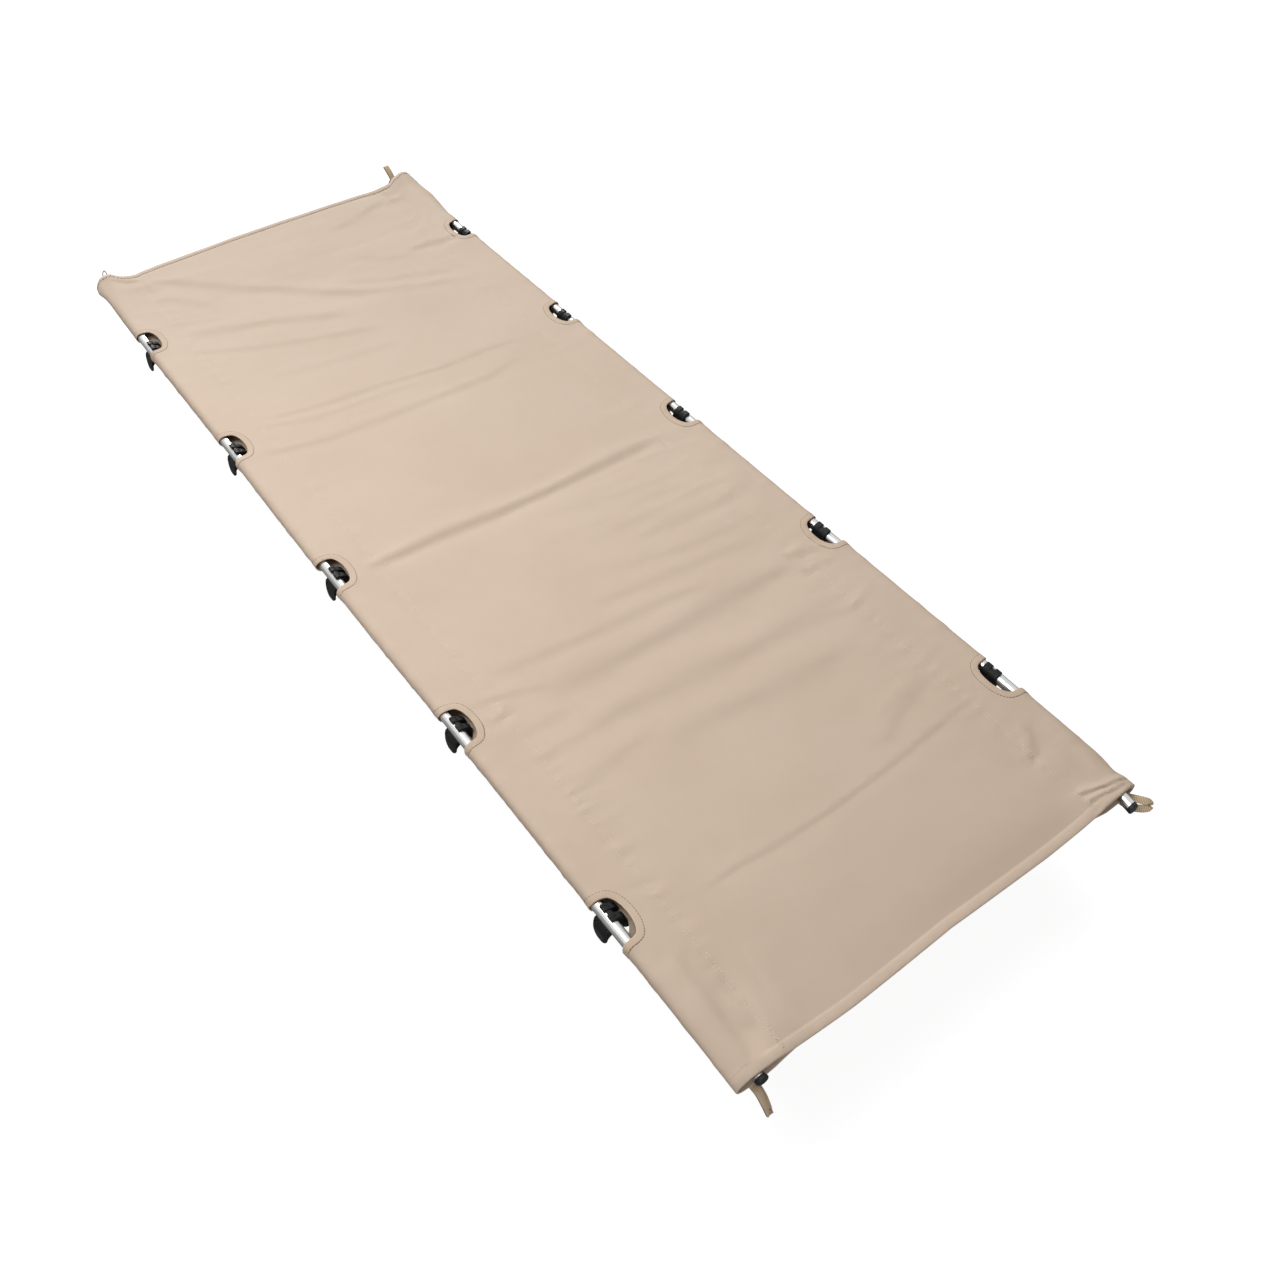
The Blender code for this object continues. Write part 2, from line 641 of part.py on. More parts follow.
def smooth_path(points, steps=4):
    """A smooth curve through hand-placed points."""
    ends = [points[0]] + list(points) + [points[-1]]
    path = []
    for i in range(1, len(ends) - 2):
        p0, p1, p2, p3 = (Vector(p) for p in ends[i - 1:i + 3])
        for k in range(steps):
            t = k / steps
            path.append(tuple(0.5 * ((2 * p1) + (p2 - p0) * t + (2 * p0 - 5 * p1 + 4 * p2 - p3) * t * t
                                     + (3 * p1 - p0 - 3 * p2 + p3) * t ** 3)))
    path.append(tuple(points[-1]))
    return path


def pull_loop(side, end, middle):
    """A folded strip of webbing. Its two ends are sewn under the mouth of the sleeve."""
    cloth_end = COVER_FAR if end > 0 else -COVER_NEAR
    under = -(SEAT_RADIUS / math.cos(math.radians(15)) + CLOTH_THICKNESS + SEWN_CLEARANCE)
    upper = under - WEBBING_THICKNESS / 2
    lower = upper - WEBBING_THICKNESS - SEWN_CLEARANCE
    root = cloth_end - LOOP_ROOT
    reach = POLE_TIP + LOOP_REACH - WEBBING_THICKNESS / 2
    points = [(cloth_end, upper)]
    points += [(cloth_end + (reach - cloth_end) * share, upper + height) for share, height in middle]
    points += [(cloth_end, lower)]
    path = [(root, upper)] + smooth_path(points) + [(root, lower)]
    strip = plate(band(path, WEBBING_THICKNESS), WEBBING_WIDTH,
                  Matrix.Rotation(math.radians(90), 4, "Z") @ SIDE_ON)
    if end < 0:
        strip.transform(Matrix.Scale(-1.0, 4, (0.0, 1.0, 0.0)))
    x = POLE_X - tip_shift(cloth_end) + LOOP_OUTSIDE
    strip.transform(Matrix.Translation((side * x, 0.0, POLE_HEIGHT)))
    return tidy(strip)


# Each loop lies its own way: shares of the reach past the cloth, and heights from the seam
LOOP_SHAPES = {
    (-1, -1): ((0.40, -0.0030), (0.78, -0.0140), (0.97, -0.0330), (1.0, -0.0480), (0.90, -0.0500),
               (0.74, -0.0350), (0.50, -0.0190), (0.25, -0.0100)),
    (1, -1): ((0.30, 0.0010), (0.62, 0.0015), (0.90, -0.0020), (1.0, -0.0085), (0.92, -0.0150),
              (0.62, -0.0165), (0.30, -0.0110)),
    (-1, 1): ((0.30, 0.0020), (0.62, 0.0050), (0.90, 0.0060), (1.0, 0.0010), (0.90, -0.0050),
              (0.62, -0.0075), (0.30, -0.0060)),
    (1, 1): ((0.30, 0.0030), (0.62, 0.0100), (0.92, 0.0200), (1.0, 0.0170), (0.92, 0.0090),
             (0.62, -0.0010), (0.30, -0.0045)),
}


# Assembly

def build():
    corner_names = {(-1, -1): "left_near", (1, -1): "right_near", (-1, 1): "left_far", (1, 1): "right_far"}
    sides = {-1: "left", 1: "right"}
    place("cover", "cover", cover())
    for side, side_name in sides.items():
        for index in range(POLE_SECTIONS):
            place(f"pole_{side_name}_{index + 1}", "pole", pole_section(index, side))
    for (side, end), corner in corner_names.items():
        place(f"pole_cap_{corner}", "cap", end_cap(side, end))
        place(f"pull_loop_{corner}", "loop", pull_loop(side, end, LOOP_SHAPES[side, end]))

    to_left = Matrix.Translation((-POLE_X, 0.0, POLE_HEIGHT))
    to_left_foot = Matrix.Translation((-KNEE_X, 0.0, 0.0))
    left = {"clip": moved(clip(True), to_left), "arm": moved(arm_tube(), to_left),
            "foot": moved(foot(), to_left_foot)}
    right = {"clip": moved(clip(False), MIRROR_X @ to_left), "arm": moved(left["arm"], MIRROR_X),
             "foot": moved(left["foot"], MIRROR_X)}
    bow = bow_tube()
    lever_mesh = lever()
    for k in range(LEG_COUNT):
        y = (k - (LEG_COUNT - 1) / 2) * LEG_PITCH
        number = k + 1
        for side_name, pieces in (("left", left), ("right", right)):
            for kind, mesh in pieces.items():
                place(f"{kind}_{side_name}_{number}", kind, mesh, (0.0, y, 0.0))
        place(f"bow_tube_{number}", "bow", bow, (0.0, y, 0.0))
        pivot = bpy.data.objects.new(f"lever_pivot_{number}", None)
        pivot.location = (LEVER_PIN[0] - POLE_X, y, LEVER_PIN[1] + POLE_HEIGHT)
        COT.objects.link(pivot)
        place(f"lever_{number}", "lever", lever_mesh, parent=pivot)


build()
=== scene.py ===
# %% [markdown]
# # A low camping cot
# The real object is a long tan cloth stretched between two silver poles. Ten small windows in its edges show
# the poles and the black clips of the legs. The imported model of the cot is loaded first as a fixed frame. The
# poles, caps, arms, feet and bowed tubes of that frame stay and only get a finish. The cloth, its bindings,
# its stitches, the pull loops, the clips and the levers are made again here with more detail.

import json
import math
import random

import bmesh
import bpy
import numpy as np
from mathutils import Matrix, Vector
from mathutils.geometry import delaunay_2d_cdt

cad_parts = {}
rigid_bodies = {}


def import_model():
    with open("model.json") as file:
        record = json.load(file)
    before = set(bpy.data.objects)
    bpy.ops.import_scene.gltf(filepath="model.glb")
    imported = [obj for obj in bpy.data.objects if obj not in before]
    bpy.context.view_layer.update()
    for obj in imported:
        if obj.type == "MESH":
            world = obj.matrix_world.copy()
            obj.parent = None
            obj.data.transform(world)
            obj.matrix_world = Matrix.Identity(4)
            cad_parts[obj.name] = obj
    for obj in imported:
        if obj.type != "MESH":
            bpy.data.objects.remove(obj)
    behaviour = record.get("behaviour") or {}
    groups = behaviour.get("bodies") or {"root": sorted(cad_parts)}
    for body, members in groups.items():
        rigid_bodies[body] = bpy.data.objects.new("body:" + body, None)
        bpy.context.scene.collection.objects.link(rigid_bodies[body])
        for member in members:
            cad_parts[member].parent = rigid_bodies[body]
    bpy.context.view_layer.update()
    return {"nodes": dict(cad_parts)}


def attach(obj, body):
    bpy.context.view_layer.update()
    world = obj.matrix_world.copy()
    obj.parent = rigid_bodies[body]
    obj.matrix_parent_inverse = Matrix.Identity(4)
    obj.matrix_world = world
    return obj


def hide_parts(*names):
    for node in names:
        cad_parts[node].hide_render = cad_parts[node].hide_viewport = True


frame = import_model()
FRAME_BODY = "frame_and_cover"

# %% [markdown]
# ## Camera
# The photo looks down on the cot from above its near left corner. The place and the lens were worked out from
# the poles and the windows, which lie at known distances, so the render can be laid over the photo.

# %% Camera
camera_data = bpy.data.cameras.new("camera")
camera_data.lens = 37.07
camera_data.sensor_width = 36.0
camera_data.clip_end = 60.0
camera = bpy.data.objects.new("camera", camera_data)
camera.location = (-0.739, -1.3562, 1.4866)
camera.rotation_euler = [math.radians(a) for a in (42.2338, 0.4051, -35.8402)]
bpy.context.scene.collection.objects.link(camera)
bpy.context.scene.camera = camera
bpy.context.scene.view_settings.view_transform = "Standard"
print("camera looks along", [round(v, 3) for v in (camera.matrix_basis.to_3x3() @ Vector((0, 0, -1)))])

# %% [markdown]
# ## Shader sums as plain expressions
# A material here is a small sum over the surface: a weave, a stain, a worn edge. Written as nodes one by one
# such a sum is hard to read. `Signal` wraps one socket, so that `1 - mask * 0.2` adds its own Math nodes.
# `Finish` holds one material, and its `node` method makes any other kind of node.

# %% Signal and Finish
class Signal:
    """One output socket of a finish. Sums of signals add Math nodes."""

    def __init__(self, finish, socket):
        self.finish = finish
        self.socket = socket

    def other(self, output):
        """Another output of the same node."""
        return Signal(self.finish, self.socket.node.outputs[output])

    def math(self, operation, first, second=0.0):
        return self.finish.node("ShaderNodeMath", {"operation": operation}, {0: first, 1: second})

    def __add__(self, other):
        return self.math("ADD", self, other)

    def __radd__(self, other):
        return self.math("ADD", other, self)

    def __sub__(self, other):
        return self.math("SUBTRACT", self, other)

    def __rsub__(self, other):
        return self.math("SUBTRACT", other, self)

    def __mul__(self, other):
        return self.math("MULTIPLY", self, other)

    def __rmul__(self, other):
        return self.math("MULTIPLY", other, self)

    def size(self):
        return self.math("ABSOLUTE", self)

    def sine(self):
        return self.math("SINE", self)

    def step(self, low, high):
        """0 below low, 1 above high, smooth between."""
        sockets = {"Value": self, "From Min": low, "From Max": high}
        return self.finish.node("ShaderNodeMapRange", {"interpolation_type": "SMOOTHSTEP"}, sockets)


class Finish:
    """The nodes of one material, or of the world, with its shader."""

    def __init__(self, name, owner=None, shader="Principled BSDF", **constants):
        self.material = owner or bpy.data.materials.new(name)
        self.material.use_nodes = True
        self.nodes = self.material.node_tree.nodes
        self.links = self.material.node_tree.links
        self.shader = self.nodes[shader]
        for socket, value in constants.items():
            self.set(socket.replace("_", " "), value)

    def feed(self, socket, value):
        if isinstance(value, Signal):
            self.links.new(value.socket, socket)
        else:
            socket.default_value = value

    def set(self, name, value):
        if isinstance(value, tuple) and len(value) == 3:
            value = (*value, 1.0)
        self.feed(self.shader.inputs[name], value)

    def node(self, kind, settings=None, sockets=None, output=0):
        node = self.nodes.new(kind)
        for name, value in (settings or {}).items():
            setattr(node, name, value)
        for name, value in (sockets or {}).items():
            self.feed(node.inputs[name], value)
        return Signal(self, node.outputs[output])

    def place(self):
        return self.node("ShaderNodeTexCoord", None, None, "Object")

    def noise(self, place, scale, detail=3.0, roughness=0.5):
        return self.node("ShaderNodeTexNoise", None,
                         {"Vector": place, "Scale": scale, "Detail": detail, "Roughness": roughness})

    def mix(self, share, first, second):
        """Colour first where share is 0, second where it is 1."""
        first, second = ((*c, 1.0) if isinstance(c, tuple) else c for c in (first, second))
        return self.node("ShaderNodeMix", {"data_type": "RGBA"}, {0: share, 6: first, 7: second}, 2)

    def bump(self, height, depth):
        """Surface relief: height is in shares of depth, which is in metres."""
        self.set("Normal", self.node("ShaderNodeBump", None, {"Height": height, "Distance": depth}))


def linear(red, green, blue):
    """Screen colour from 0 to 255 as linear light."""
    return tuple(((c / 255 + 0.055) / 1.055) ** 2.4 for c in (red, green, blue))


print("cloth colour as linear light:", [round(c, 3) for c in linear(204, 183, 164)])

# %% [markdown]
# ## Finish of the cloth
# The cloth is a plain woven polyester in warm tan. Seen close, threads cross every half millimetre. Seen from
# far, only slow changes of tone are left. The pattern is laid on with the cloth's own unrolled coordinates,
# which are kept in a UV map in metres, so the threads follow the cloth round the pole. Thread relief is bump,
# and folds are geometry.

# %% Cloth finish
def woven(name, pitch, colour, shade, light):
    finish = Finish(name, Roughness=0.62, Sheen_Weight=0.03, Sheen_Roughness=0.45, Specular_IOR_Level=0.16)
    lay = finish.node("ShaderNodeUVMap", {"uv_map": "Cloth"})
    across = finish.node("ShaderNodeSeparateXYZ", None, {0: lay})
    turn = 2 * math.pi / pitch
    threads = (across * turn).sine() * (across.other(1) * turn).sine() * 0.5 + 0.5
    slub = finish.noise(lay, 900.0, 2.0)
    cloud = finish.noise(lay, 5.5, 4.0, 0.55)
    blotch = finish.noise(lay, 38.0, 3.0, 0.6)
    tone = cloud.step(0.3, 0.7) * 0.55 + blotch.step(0.25, 0.8) * 0.25 + slub * 0.2
    finish.set("Base Color", finish.mix(threads * 0.18 + 0.05, finish.mix(tone, shade, light), colour))
    finish.set("Roughness", 0.57 + blotch * 0.08)
    finish.bump(threads * 0.6 + slub * 0.4, 0.00016)
    return finish


cloth_finish = woven("tan_cloth", 0.0011,
                     linear(204, 183, 164), linear(200, 179, 159), linear(207, 187, 168))
binding_finish = woven("tan_binding", 0.0009,
                       linear(205, 183, 161), linear(192, 169, 147), linear(210, 190, 169))
print("weave pitch 1.1 mm on the cloth, 0.9 mm on the bindings")

# %% [markdown]
# ## Thread and webbing
# The seams and the near hem are sewn with a polyester thread a little lighter than the cloth, the windows and
# the far hem with a dark brown one. It is laid so close that it reads as one dark line, partly thread and
# partly painted shadow. The pull loops are a narrow webbing, browner than the cloth, with a rib across it every
# two millimetres. Its colour has painted shade between the ribs and lighter rib tops, and a dark band along its
# two narrow sides.

# %% Thread and webbing finishes
def spun(name, dark, light, **constants):
    finish = Finish(name, **constants)
    finish.set("Base Color", finish.mix(finish.noise(finish.place(), 2400.0, 1.0), dark, light))
    return finish


thread_finish = spun("thread", linear(212, 192, 168), linear(238, 222, 202), Roughness=0.6, Sheen_Weight=0.2)
dark_thread_with_painted_shadow_finish = spun("dark_thread_with_painted_shadow", linear(84, 62, 48), linear(112, 86, 68), Roughness=0.7)

RIB_PITCH = 0.0020
webbing_finish = Finish("webbing", Roughness=0.85, Sheen_Weight=0.2)
web_lay = webbing_finish.node("ShaderNodeUVMap", {"uv_map": "Cloth"})
web_across = webbing_finish.node("ShaderNodeSeparateXYZ", None, {0: web_lay})
rib = (web_across.other(1) * (2 * math.pi / RIB_PITCH)).sine() * 0.5 + 0.5
weft = rib * 0.8 + webbing_finish.noise(web_lay, 1500.0, 2.0) * 0.2
# Painted shade: the colour follows the rib relief, darker in the hollows between the ribs and lighter on their
# tops.
rib_painted_shade = webbing_finish.mix(weft, linear(176, 144, 110), linear(250, 228, 192))
# A dark band along the strip's two narrow sides.
side_band = web_across.size().step(0.00455, 0.00480)
webbing_finish.set("Base Color", webbing_finish.mix(side_band, rib_painted_shade, linear(62, 54, 46)))
webbing_finish.bump(weft, 0.00035)
print("webbing: a rib every", RIB_PITCH * 1000, "mm")

# %% [markdown]
# ## Metal and plastic
# The poles are bare satin aluminium: fine lines along the tube and a soft shine. The leg tubes are the same
# metal. Clips, caps, feet and levers are black moulded nylon with a fine grain and random greyer patches.
# Their sharp convex edges have a painted highlight: a lighter grey in the colour itself.

# %% Metal and plastic finishes
def drawn_tube(name, colour, roughness, stretch):
    finish = Finish(name, Metallic=1.0)
    place = finish.node("ShaderNodeMapping", None, {"Vector": finish.place(), "Scale": stretch})
    lines = finish.noise(place, 1.0, 3.0, 0.6)
    smear = finish.noise(finish.place(), 55.0)
    finish.set("Base Color", finish.mix(smear * 0.6 + lines * 0.4, tuple(c * 0.86 for c in colour), colour))
    finish.set("Roughness", roughness - 0.05 + lines * 0.08 + smear * 0.06)
    finish.bump(lines, 0.00003)
    return finish


def moulded(name, colour, roughness):
    finish = Finish(name, Specular_IOR_Level=0.15)
    grain = finish.noise(finish.place(), 2600.0, 2.0)
    patch = finish.noise(finish.place(), 90.0)
    # Painted highlight: sharp convex edges, found by pointiness, are mixed towards a lighter grey, and random
    # patches a little towards it.
    edge = finish.node("ShaderNodeNewGeometry", None, None, "Pointiness").step(0.52, 0.62)
    patch_and_edge_highlight_grey = tuple(c * 2.2 + 0.004 for c in colour)
    finish.set("Base Color", finish.mix(edge * 0.5 + patch * 0.15, colour, patch_and_edge_highlight_grey))
    finish.set("Roughness", roughness + grain * 0.12 - edge * 0.06)
    finish.bump(grain, 0.00006)
    return finish


pole_finish = drawn_tube("satin_pole", (0.66, 0.66, 0.65), 0.24, (900.0, 6.0, 900.0))
leg_finish = drawn_tube("satin_leg_tube", (0.70, 0.70, 0.70), 0.34, (500.0, 500.0, 500.0))
black_finish = moulded("black_nylon", (0.0065, 0.0065, 0.0070), 0.44)
cap_finish = moulded("black_cap", (0.014, 0.014, 0.016), 0.36)
lever_finish = moulded("black_lever", (0.0055, 0.0060, 0.0054), 0.46)
node_finishes = {"pole_left": pole_finish, "pole_right": pole_finish, "pole_cap": cap_finish,
                 "arm": leg_finish, "bow": leg_finish, "foot": black_finish, "clip": black_finish,
                 "lever": lever_finish}
for name, node in frame["nodes"].items():
    for start, finish in node_finishes.items():
        if name.startswith(start):
            node.data.materials.clear()
            node.data.materials.append(finish.material)
print("finished CAD nodes:", sum(name.startswith(tuple(node_finishes)) for name in frame["nodes"]))

# %% [markdown]
# ## Floor and light
# The photo was taken in a white studio, under a wide soft light above the far end and between light walls.
# Here that light is one large lamp, low enough for the folds to show, and two weak ones lift the middle and
# the near side. The floor is pale and keeps the cot's shadow. Much of its brightness is its own and is seen
# by the camera only, so that it turns white without more light on the cot.

# %% Floor and light
def lamp(name, place, target, width, height, watts):
    light = bpy.data.lights.new(name, "AREA")
    light.shape = "RECTANGLE"
    light.size = width
    light.size_y = height
    light.energy = watts
    holder = bpy.data.objects.new(name, light)
    holder.location = place
    holder.rotation_euler = (Vector(target) - Vector(place)).to_track_quat("-Z", "Y").to_euler()
    bpy.context.scene.collection.objects.link(holder)


lamp("far_softbox", (3.0, 10.6, 6.4), (0.0, 0.0, 0.1), 4.4, 3.6, 1190.0)
lamp("upper_softbox", (-0.75, 0.1, 1.80), (-0.10, 0.0, 0.1), 1.2, 1.2, 19.0)
lamp("near_fill", (-1.8, -4.6, 0.9), (0.0, -0.5, 0.12), 2.4, 1.2, 52.0)

walls = Finish("studio", bpy.data.worlds.new("studio"), "Background", Color=(1.0, 1.0, 1.0))
bpy.context.scene.world = walls.material
direct = walls.node("ShaderNodeLightPath")
seen = direct.math("MAXIMUM", direct, direct.other("Is Glossy Ray"))
walls.set("Strength", walls.node("ShaderNodeMapRange", None, {"Value": seen, "To Min": 0.21, "To Max": 1.0}))

floor_finish = Finish("studio_floor", Roughness=0.9, Specular_IOR_Level=0.1, Emission_Strength=1.0)
speck = floor_finish.noise(floor_finish.place(), 3.0, 2.0)
floor_finish.set("Base Color", floor_finish.mix(speck, (0.27, 0.27, 0.27), (0.29, 0.29, 0.29)))
camera_ray = floor_finish.node("ShaderNodeLightPath")
floor_finish.set("Emission Color", floor_finish.mix(camera_ray, (0.0, 0.0, 0.0), (0.90, 0.90, 0.90)))
floor_mesh = bpy.data.meshes.new("studio_floor")
floor_shape = bmesh.new()
bmesh.ops.create_grid(floor_shape, x_segments=8, y_segments=8, size=9.0)
floor_shape.to_mesh(floor_mesh)
floor_shape.free()
floor = bpy.data.objects.new("studio_floor", floor_mesh)
floor.location.z = -0.0005
floor.data.materials.append(floor_finish.material)
bpy.context.scene.collection.objects.link(floor)
print("three soft lamps, white walls and a floor")

# %% [markdown]
# ## How the cloth lies
# On the real cot the cloth is one flat piece. Its long edges are folded round the poles and sewn back to its
# underside, which makes a flat sleeve along each side. So each point of the cloth has an unrolled place: `s`
# across it, from 0 in the middle, and `y` along it. The functions below say where such a point lies: flat
# between the seams, straight up to the pole, round it, and straight back below. The places of the poles, the
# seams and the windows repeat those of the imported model. Here the cloth is thinner, lies a little higher at
# the seams, and reaches 5 mm further at the far end.

# %% Measures of the cloth
POLE_X = 0.316
POLE_HEIGHT = 0.140
SEAM_X = 0.247
SEAM_HEIGHT = 0.143
LAYER_GAP = 0.0010
SLEEVE_RADIUS = 0.0094
CLOTH = 0.0007
SAG = 0.0080
END = {-1: -0.9345, 1: 0.9455}
WINDOW_HALF = 0.0315
WINDOW_DEPTH = 0.0208
WINDOWS = [(k - 2) * 0.3505 for k in range(5)]
BEND_START = 0.712
BEND_LENGTH = 0.2305
TIP_PULL = 0.0205


def tip_shift(y):
    """How far a pole axis is bent inwards at y."""
    reach = np.maximum(0.0, np.abs(y) - BEND_START) / BEND_LENGTH
    return TIP_PULL * reach * reach


def smooth(value, low, high):
    share = np.clip((value - low) / (high - low), 0.0, 1.0)
    return share * share * (3.0 - 2.0 * share)


def sleeve_radius(y):
    """The sleeve hugs the pole and opens a little at each window and at its mouths."""
    radius = np.full(np.shape(y), SLEEVE_RADIUS)
    for middle in WINDOWS:
        near = np.abs(y - (middle - WINDOW_HALF))
        far = np.abs(y - (middle + WINDOW_HALF))
        radius = radius + 0.0011 * np.exp(-(near / 0.016) ** 2) + 0.0005 * np.exp(-(far / 0.014) ** 2)
    return radius + 0.0026 * smooth(np.abs(y), 0.895, 0.94)


def sleeve(side, y):
    """Sizes of the sleeve section at y: pole axis, radius, spare width, tangents and lengths."""
    centre = POLE_X - tip_shift(y)
    radius = sleeve_radius(y)
    share_left = np.interp(y, [-0.95, -0.90, -0.60, 0.60, 0.86, 0.93, 0.955],
                           [0.85, 1.02, 0.93, 0.93, 0.74, 0.98, 0.80])
    share_right = np.interp(y, [-0.95, -0.92, -0.90, -0.875, -0.85], [0.72, 0.78, 0.56, 0.82, 0.93])
    left_spare = tip_shift(y) * share_left + 0.0028 * np.exp(-(np.abs(y / 0.27) ** 4))
    right_spare = tip_shift(y) * share_right + 0.0118 * smooth(y, 0.755, 0.87)
    run = centre - SEAM_X
    rise = POLE_HEIGHT - SEAM_HEIGHT
    reach = np.hypot(run, rise)
    top = np.arctan2(rise, run) + np.arcsin(radius / reach)
    drop = rise + LAYER_GAP
    low_reach = np.hypot(run, drop)
    low = np.arctan2(drop, run) - np.arcsin(radius / low_reach)
    wide = radius + np.where(side < 0, left_spare, right_spare)
    quarter = math.pi / 4 * (1.5 * (wide + radius) - np.sqrt(wide * radius))
    lengths = [np.sqrt(reach ** 2 - radius ** 2), radius * top, quarter, quarter, radius * -low,
               np.sqrt(low_reach ** 2 - radius ** 2)]
    return centre, radius, wide, top, low, lengths


REST_LENGTHS = [float(v) for v in sleeve(1, np.array(0.15))[5]]
SLEEVE_LENGTH = sum(REST_LENGTHS)
FOLD_S = SEAM_X + sum(REST_LENGTHS[:3])
LOWER_S = SEAM_X + SLEEVE_LENGTH + 0.003
print("cloth across:", round(2 * LOWER_S, 4), "fold at", round(FOLD_S, 4))

# %% [markdown]
# ## Folds and wrinkles
# Each fold that can be seen in the photo is given in millimetres: a line over the cloth, then how far the
# cloth drops towards the near side, how high a ridge it has, and how wide it is. A sharp one is a crease
# from folding the cloth away, and it runs across the cot at each leg. A wide one is slack in the cloth. Short
# puckers come from the sewing, and lie in seeded rows along the seams.

# %% Folds
def in_metres(folds):
    return [([(x / 1000, y / 1000) for x, y in line], *(size / 1000 for size in sizes))
            for line, *sizes in folds]


FOLDS = in_metres([
    ([(-292, -20), (-241, -15), (-144, -11), (-53, -16), (58, -20), (185, -21), (281, -30)], 1.52, 0, 5.8),
    ([(32, -25), (108, -39), (183, -45), (260, -57)], 0.20, 0.2, 4.5),
    ([(-229, -729), (-147, -725), (-94, -729), (1, -728), (99, -722), (196, -713), (255, -708), (280, -703)],
     0.42, -0.3, 3.4),
    ([(-258, 391), (-146, 376), (-41, 369), (62, 351), (159, 346), (245, 329)], 0.42, -0.2, 4.5),
    ([(-257, 377), (-180, 353), (-128, 349), (-52, 348), (40, 334)], 0.36, 0, 4.5),
    ([(-306, 310), (-174, 290), (-84, 289), (20, 286), (118, 280), (215, 299)], 0.55, 0, 5.5),
    ([(-250, -298), (-201, -299), (-143, -304), (-77, -309), (33, -315), (130, -331)], 0.60, 0, 6.2),
    ([(-206, -359), (-103, -366), (9, -367), (129, -365), (247, -373), (285, -381)], 1.15, 0.2, 12.5),
    ([(-180, -440), (-58, -449), (62, -459), (169, -465), (268, -470)], 1.15, 0, 14.5),
    ([(-120, -530), (-18, -523), (93, -537), (215, -541)], 0.85, 0, 15.0),
    ([(50, -145), (141, -158), (225, -163), (271, -167)], 0.36, 0, 6.0),
    ([(80, -190), (151, -197), (233, -205), (297, -207)], 0.40, 0, 7.0),
    ([(-13, -59), (79, -81), (166, -102), (250, -112)], 0.28, 0, 6.0),
    ([(20, -225), (120, -245), (240, -262)], 0.45, 0, 7.5),
    ([(-60, -262), (90, -280), (250, -300)], 0.50, 0, 8.0),
    ([(-60, -115), (80, -128), (240, -135)], 0.26, 0, 6.0),
    ([(-252, 905), (-193, 855), (-146, 812), (-100, 769), (-48, 735), (-5, 690), (55, 641), (110, 612)],
     1.05, 0, 8.2),
    ([(0, 690), (55, 641), (115, 610), (177, 581), (245, 550)], 0.50, 0, 6.2),
    ([(-265, 690), (-186, 667), (-136, 656), (-94, 642), (-48, 619), (25, 583)], 0.95, 0, 8.6),
    ([(-255, 828), (-217, 798), (-175, 748)], 0.50, 0, 6.0),
    ([(-275, 733), (-219, 718), (-170, 703)], 0.35, 0, 5.0),
    ([(-288, 646), (-232, 615), (-173, 591), (-119, 574), (-57, 552), (65, 514)], 0.50, 0, 5.5),
    ([(-200, 494), (-122, 486), (-48, 476), (60, 460)], 0.30, 0, 6.0),
    ([(30, 705), (110, 648), (166, 624), (240, 590)], 0.45, 0, 6.0),
    ([(200, 704), (251, 694), (290, 683), (320, 674)], 0.75, 0, 5.5),
    ([(100, 755), (144, 711), (205, 678)], 0.40, 0, 6.5),
    ([(110, 858), (196, 876), (250, 910)], 0.50, 0.3, 8.0),
    ([(276, 866), (292, 900), (304, 928)], 0.45, 0.5, 6.0),
    ([(284, 790), (262, 765), (225, 752)], 0.35, 0, 5.5),
    ([(-295, -372), (-262, -366), (-235, -352)], 0.50, 0.3, 4.5),
    ([(-285, -327), (-231, -336), (-170, -352)], 0.30, 0.3, 5.0),
    ([(-290, -395), (-245, -405), (-170, -405)], 0.40, 0, 6.0),
    ([(225, -350), (262, -364), (288, -372)], 0.60, 0, 4.0),
    ([(228, -392), (262, -398), (292, -400)], 0.45, 0.3, 4.0),
    ([(110, -697), (153, -672), (200, -655), (240, -650)], 0.60, 0, 7.5),
    ([(134, -652), (215, -632), (250, -628)], 0.20, 0.4, 9.0),
    ([(236, -818), (258, -817), (273, -798), (282, -774)], 0.80, 0.3, 4.2),
    ([(-262, -914), (-248, -881), (-241, -841), (-243, -803)], -0.75, 0.3, 5.0),
    ([(-228, -904), (-217, -859), (-213, -806)], -0.50, 0.4, 6.0),
    ([(-300, -925), (-294, -888), (-290, -820), (-291, -770)], 0.90, 1.0, 9.0),
    ([(-262, -455), (-200, -452), (-130, -447)], 0.40, 0, 7.0),
    ([(-262, -520), (-190, -506), (-100, -492)], 0.40, 0.2, 8.0),
])
PULLED_CORNER = in_metres([
    ([(250, -895), (274, -906.5), (290, -912.5), (314.9, -920.6), (323, -922.5)], 0.80, 0.5, 2.3),
    ([(250, -913), (272, -918.5), (284.6, -922.5), (306.4, -926), (316, -926.8)], 0.70, 0.4, 2.1),
])
CORNER_FOLDS = in_metres([
    ([(299, -785), (301, -812), (302, -840), (303, -867), (302, -883)], 0.60, 0.3, 4.5),
    ([(-307, 940), (-303, 900), (-303, 835)], 0.45, 0, 6.0),
    ([(-322, 925), (-305, 936), (-285, 926), (-250, 920)], 0.55, 0.3, 4.2),
    ([(304, 956), (289, 942), (278, 918)], 0.60, 0.4, 5.0),
    ([(-299, -925), (-293, -888), (-290, -820)], 0.55, 0.3, 7.0),
])
FOLD_STRENGTH = 2.0
SHARP = 0.0063


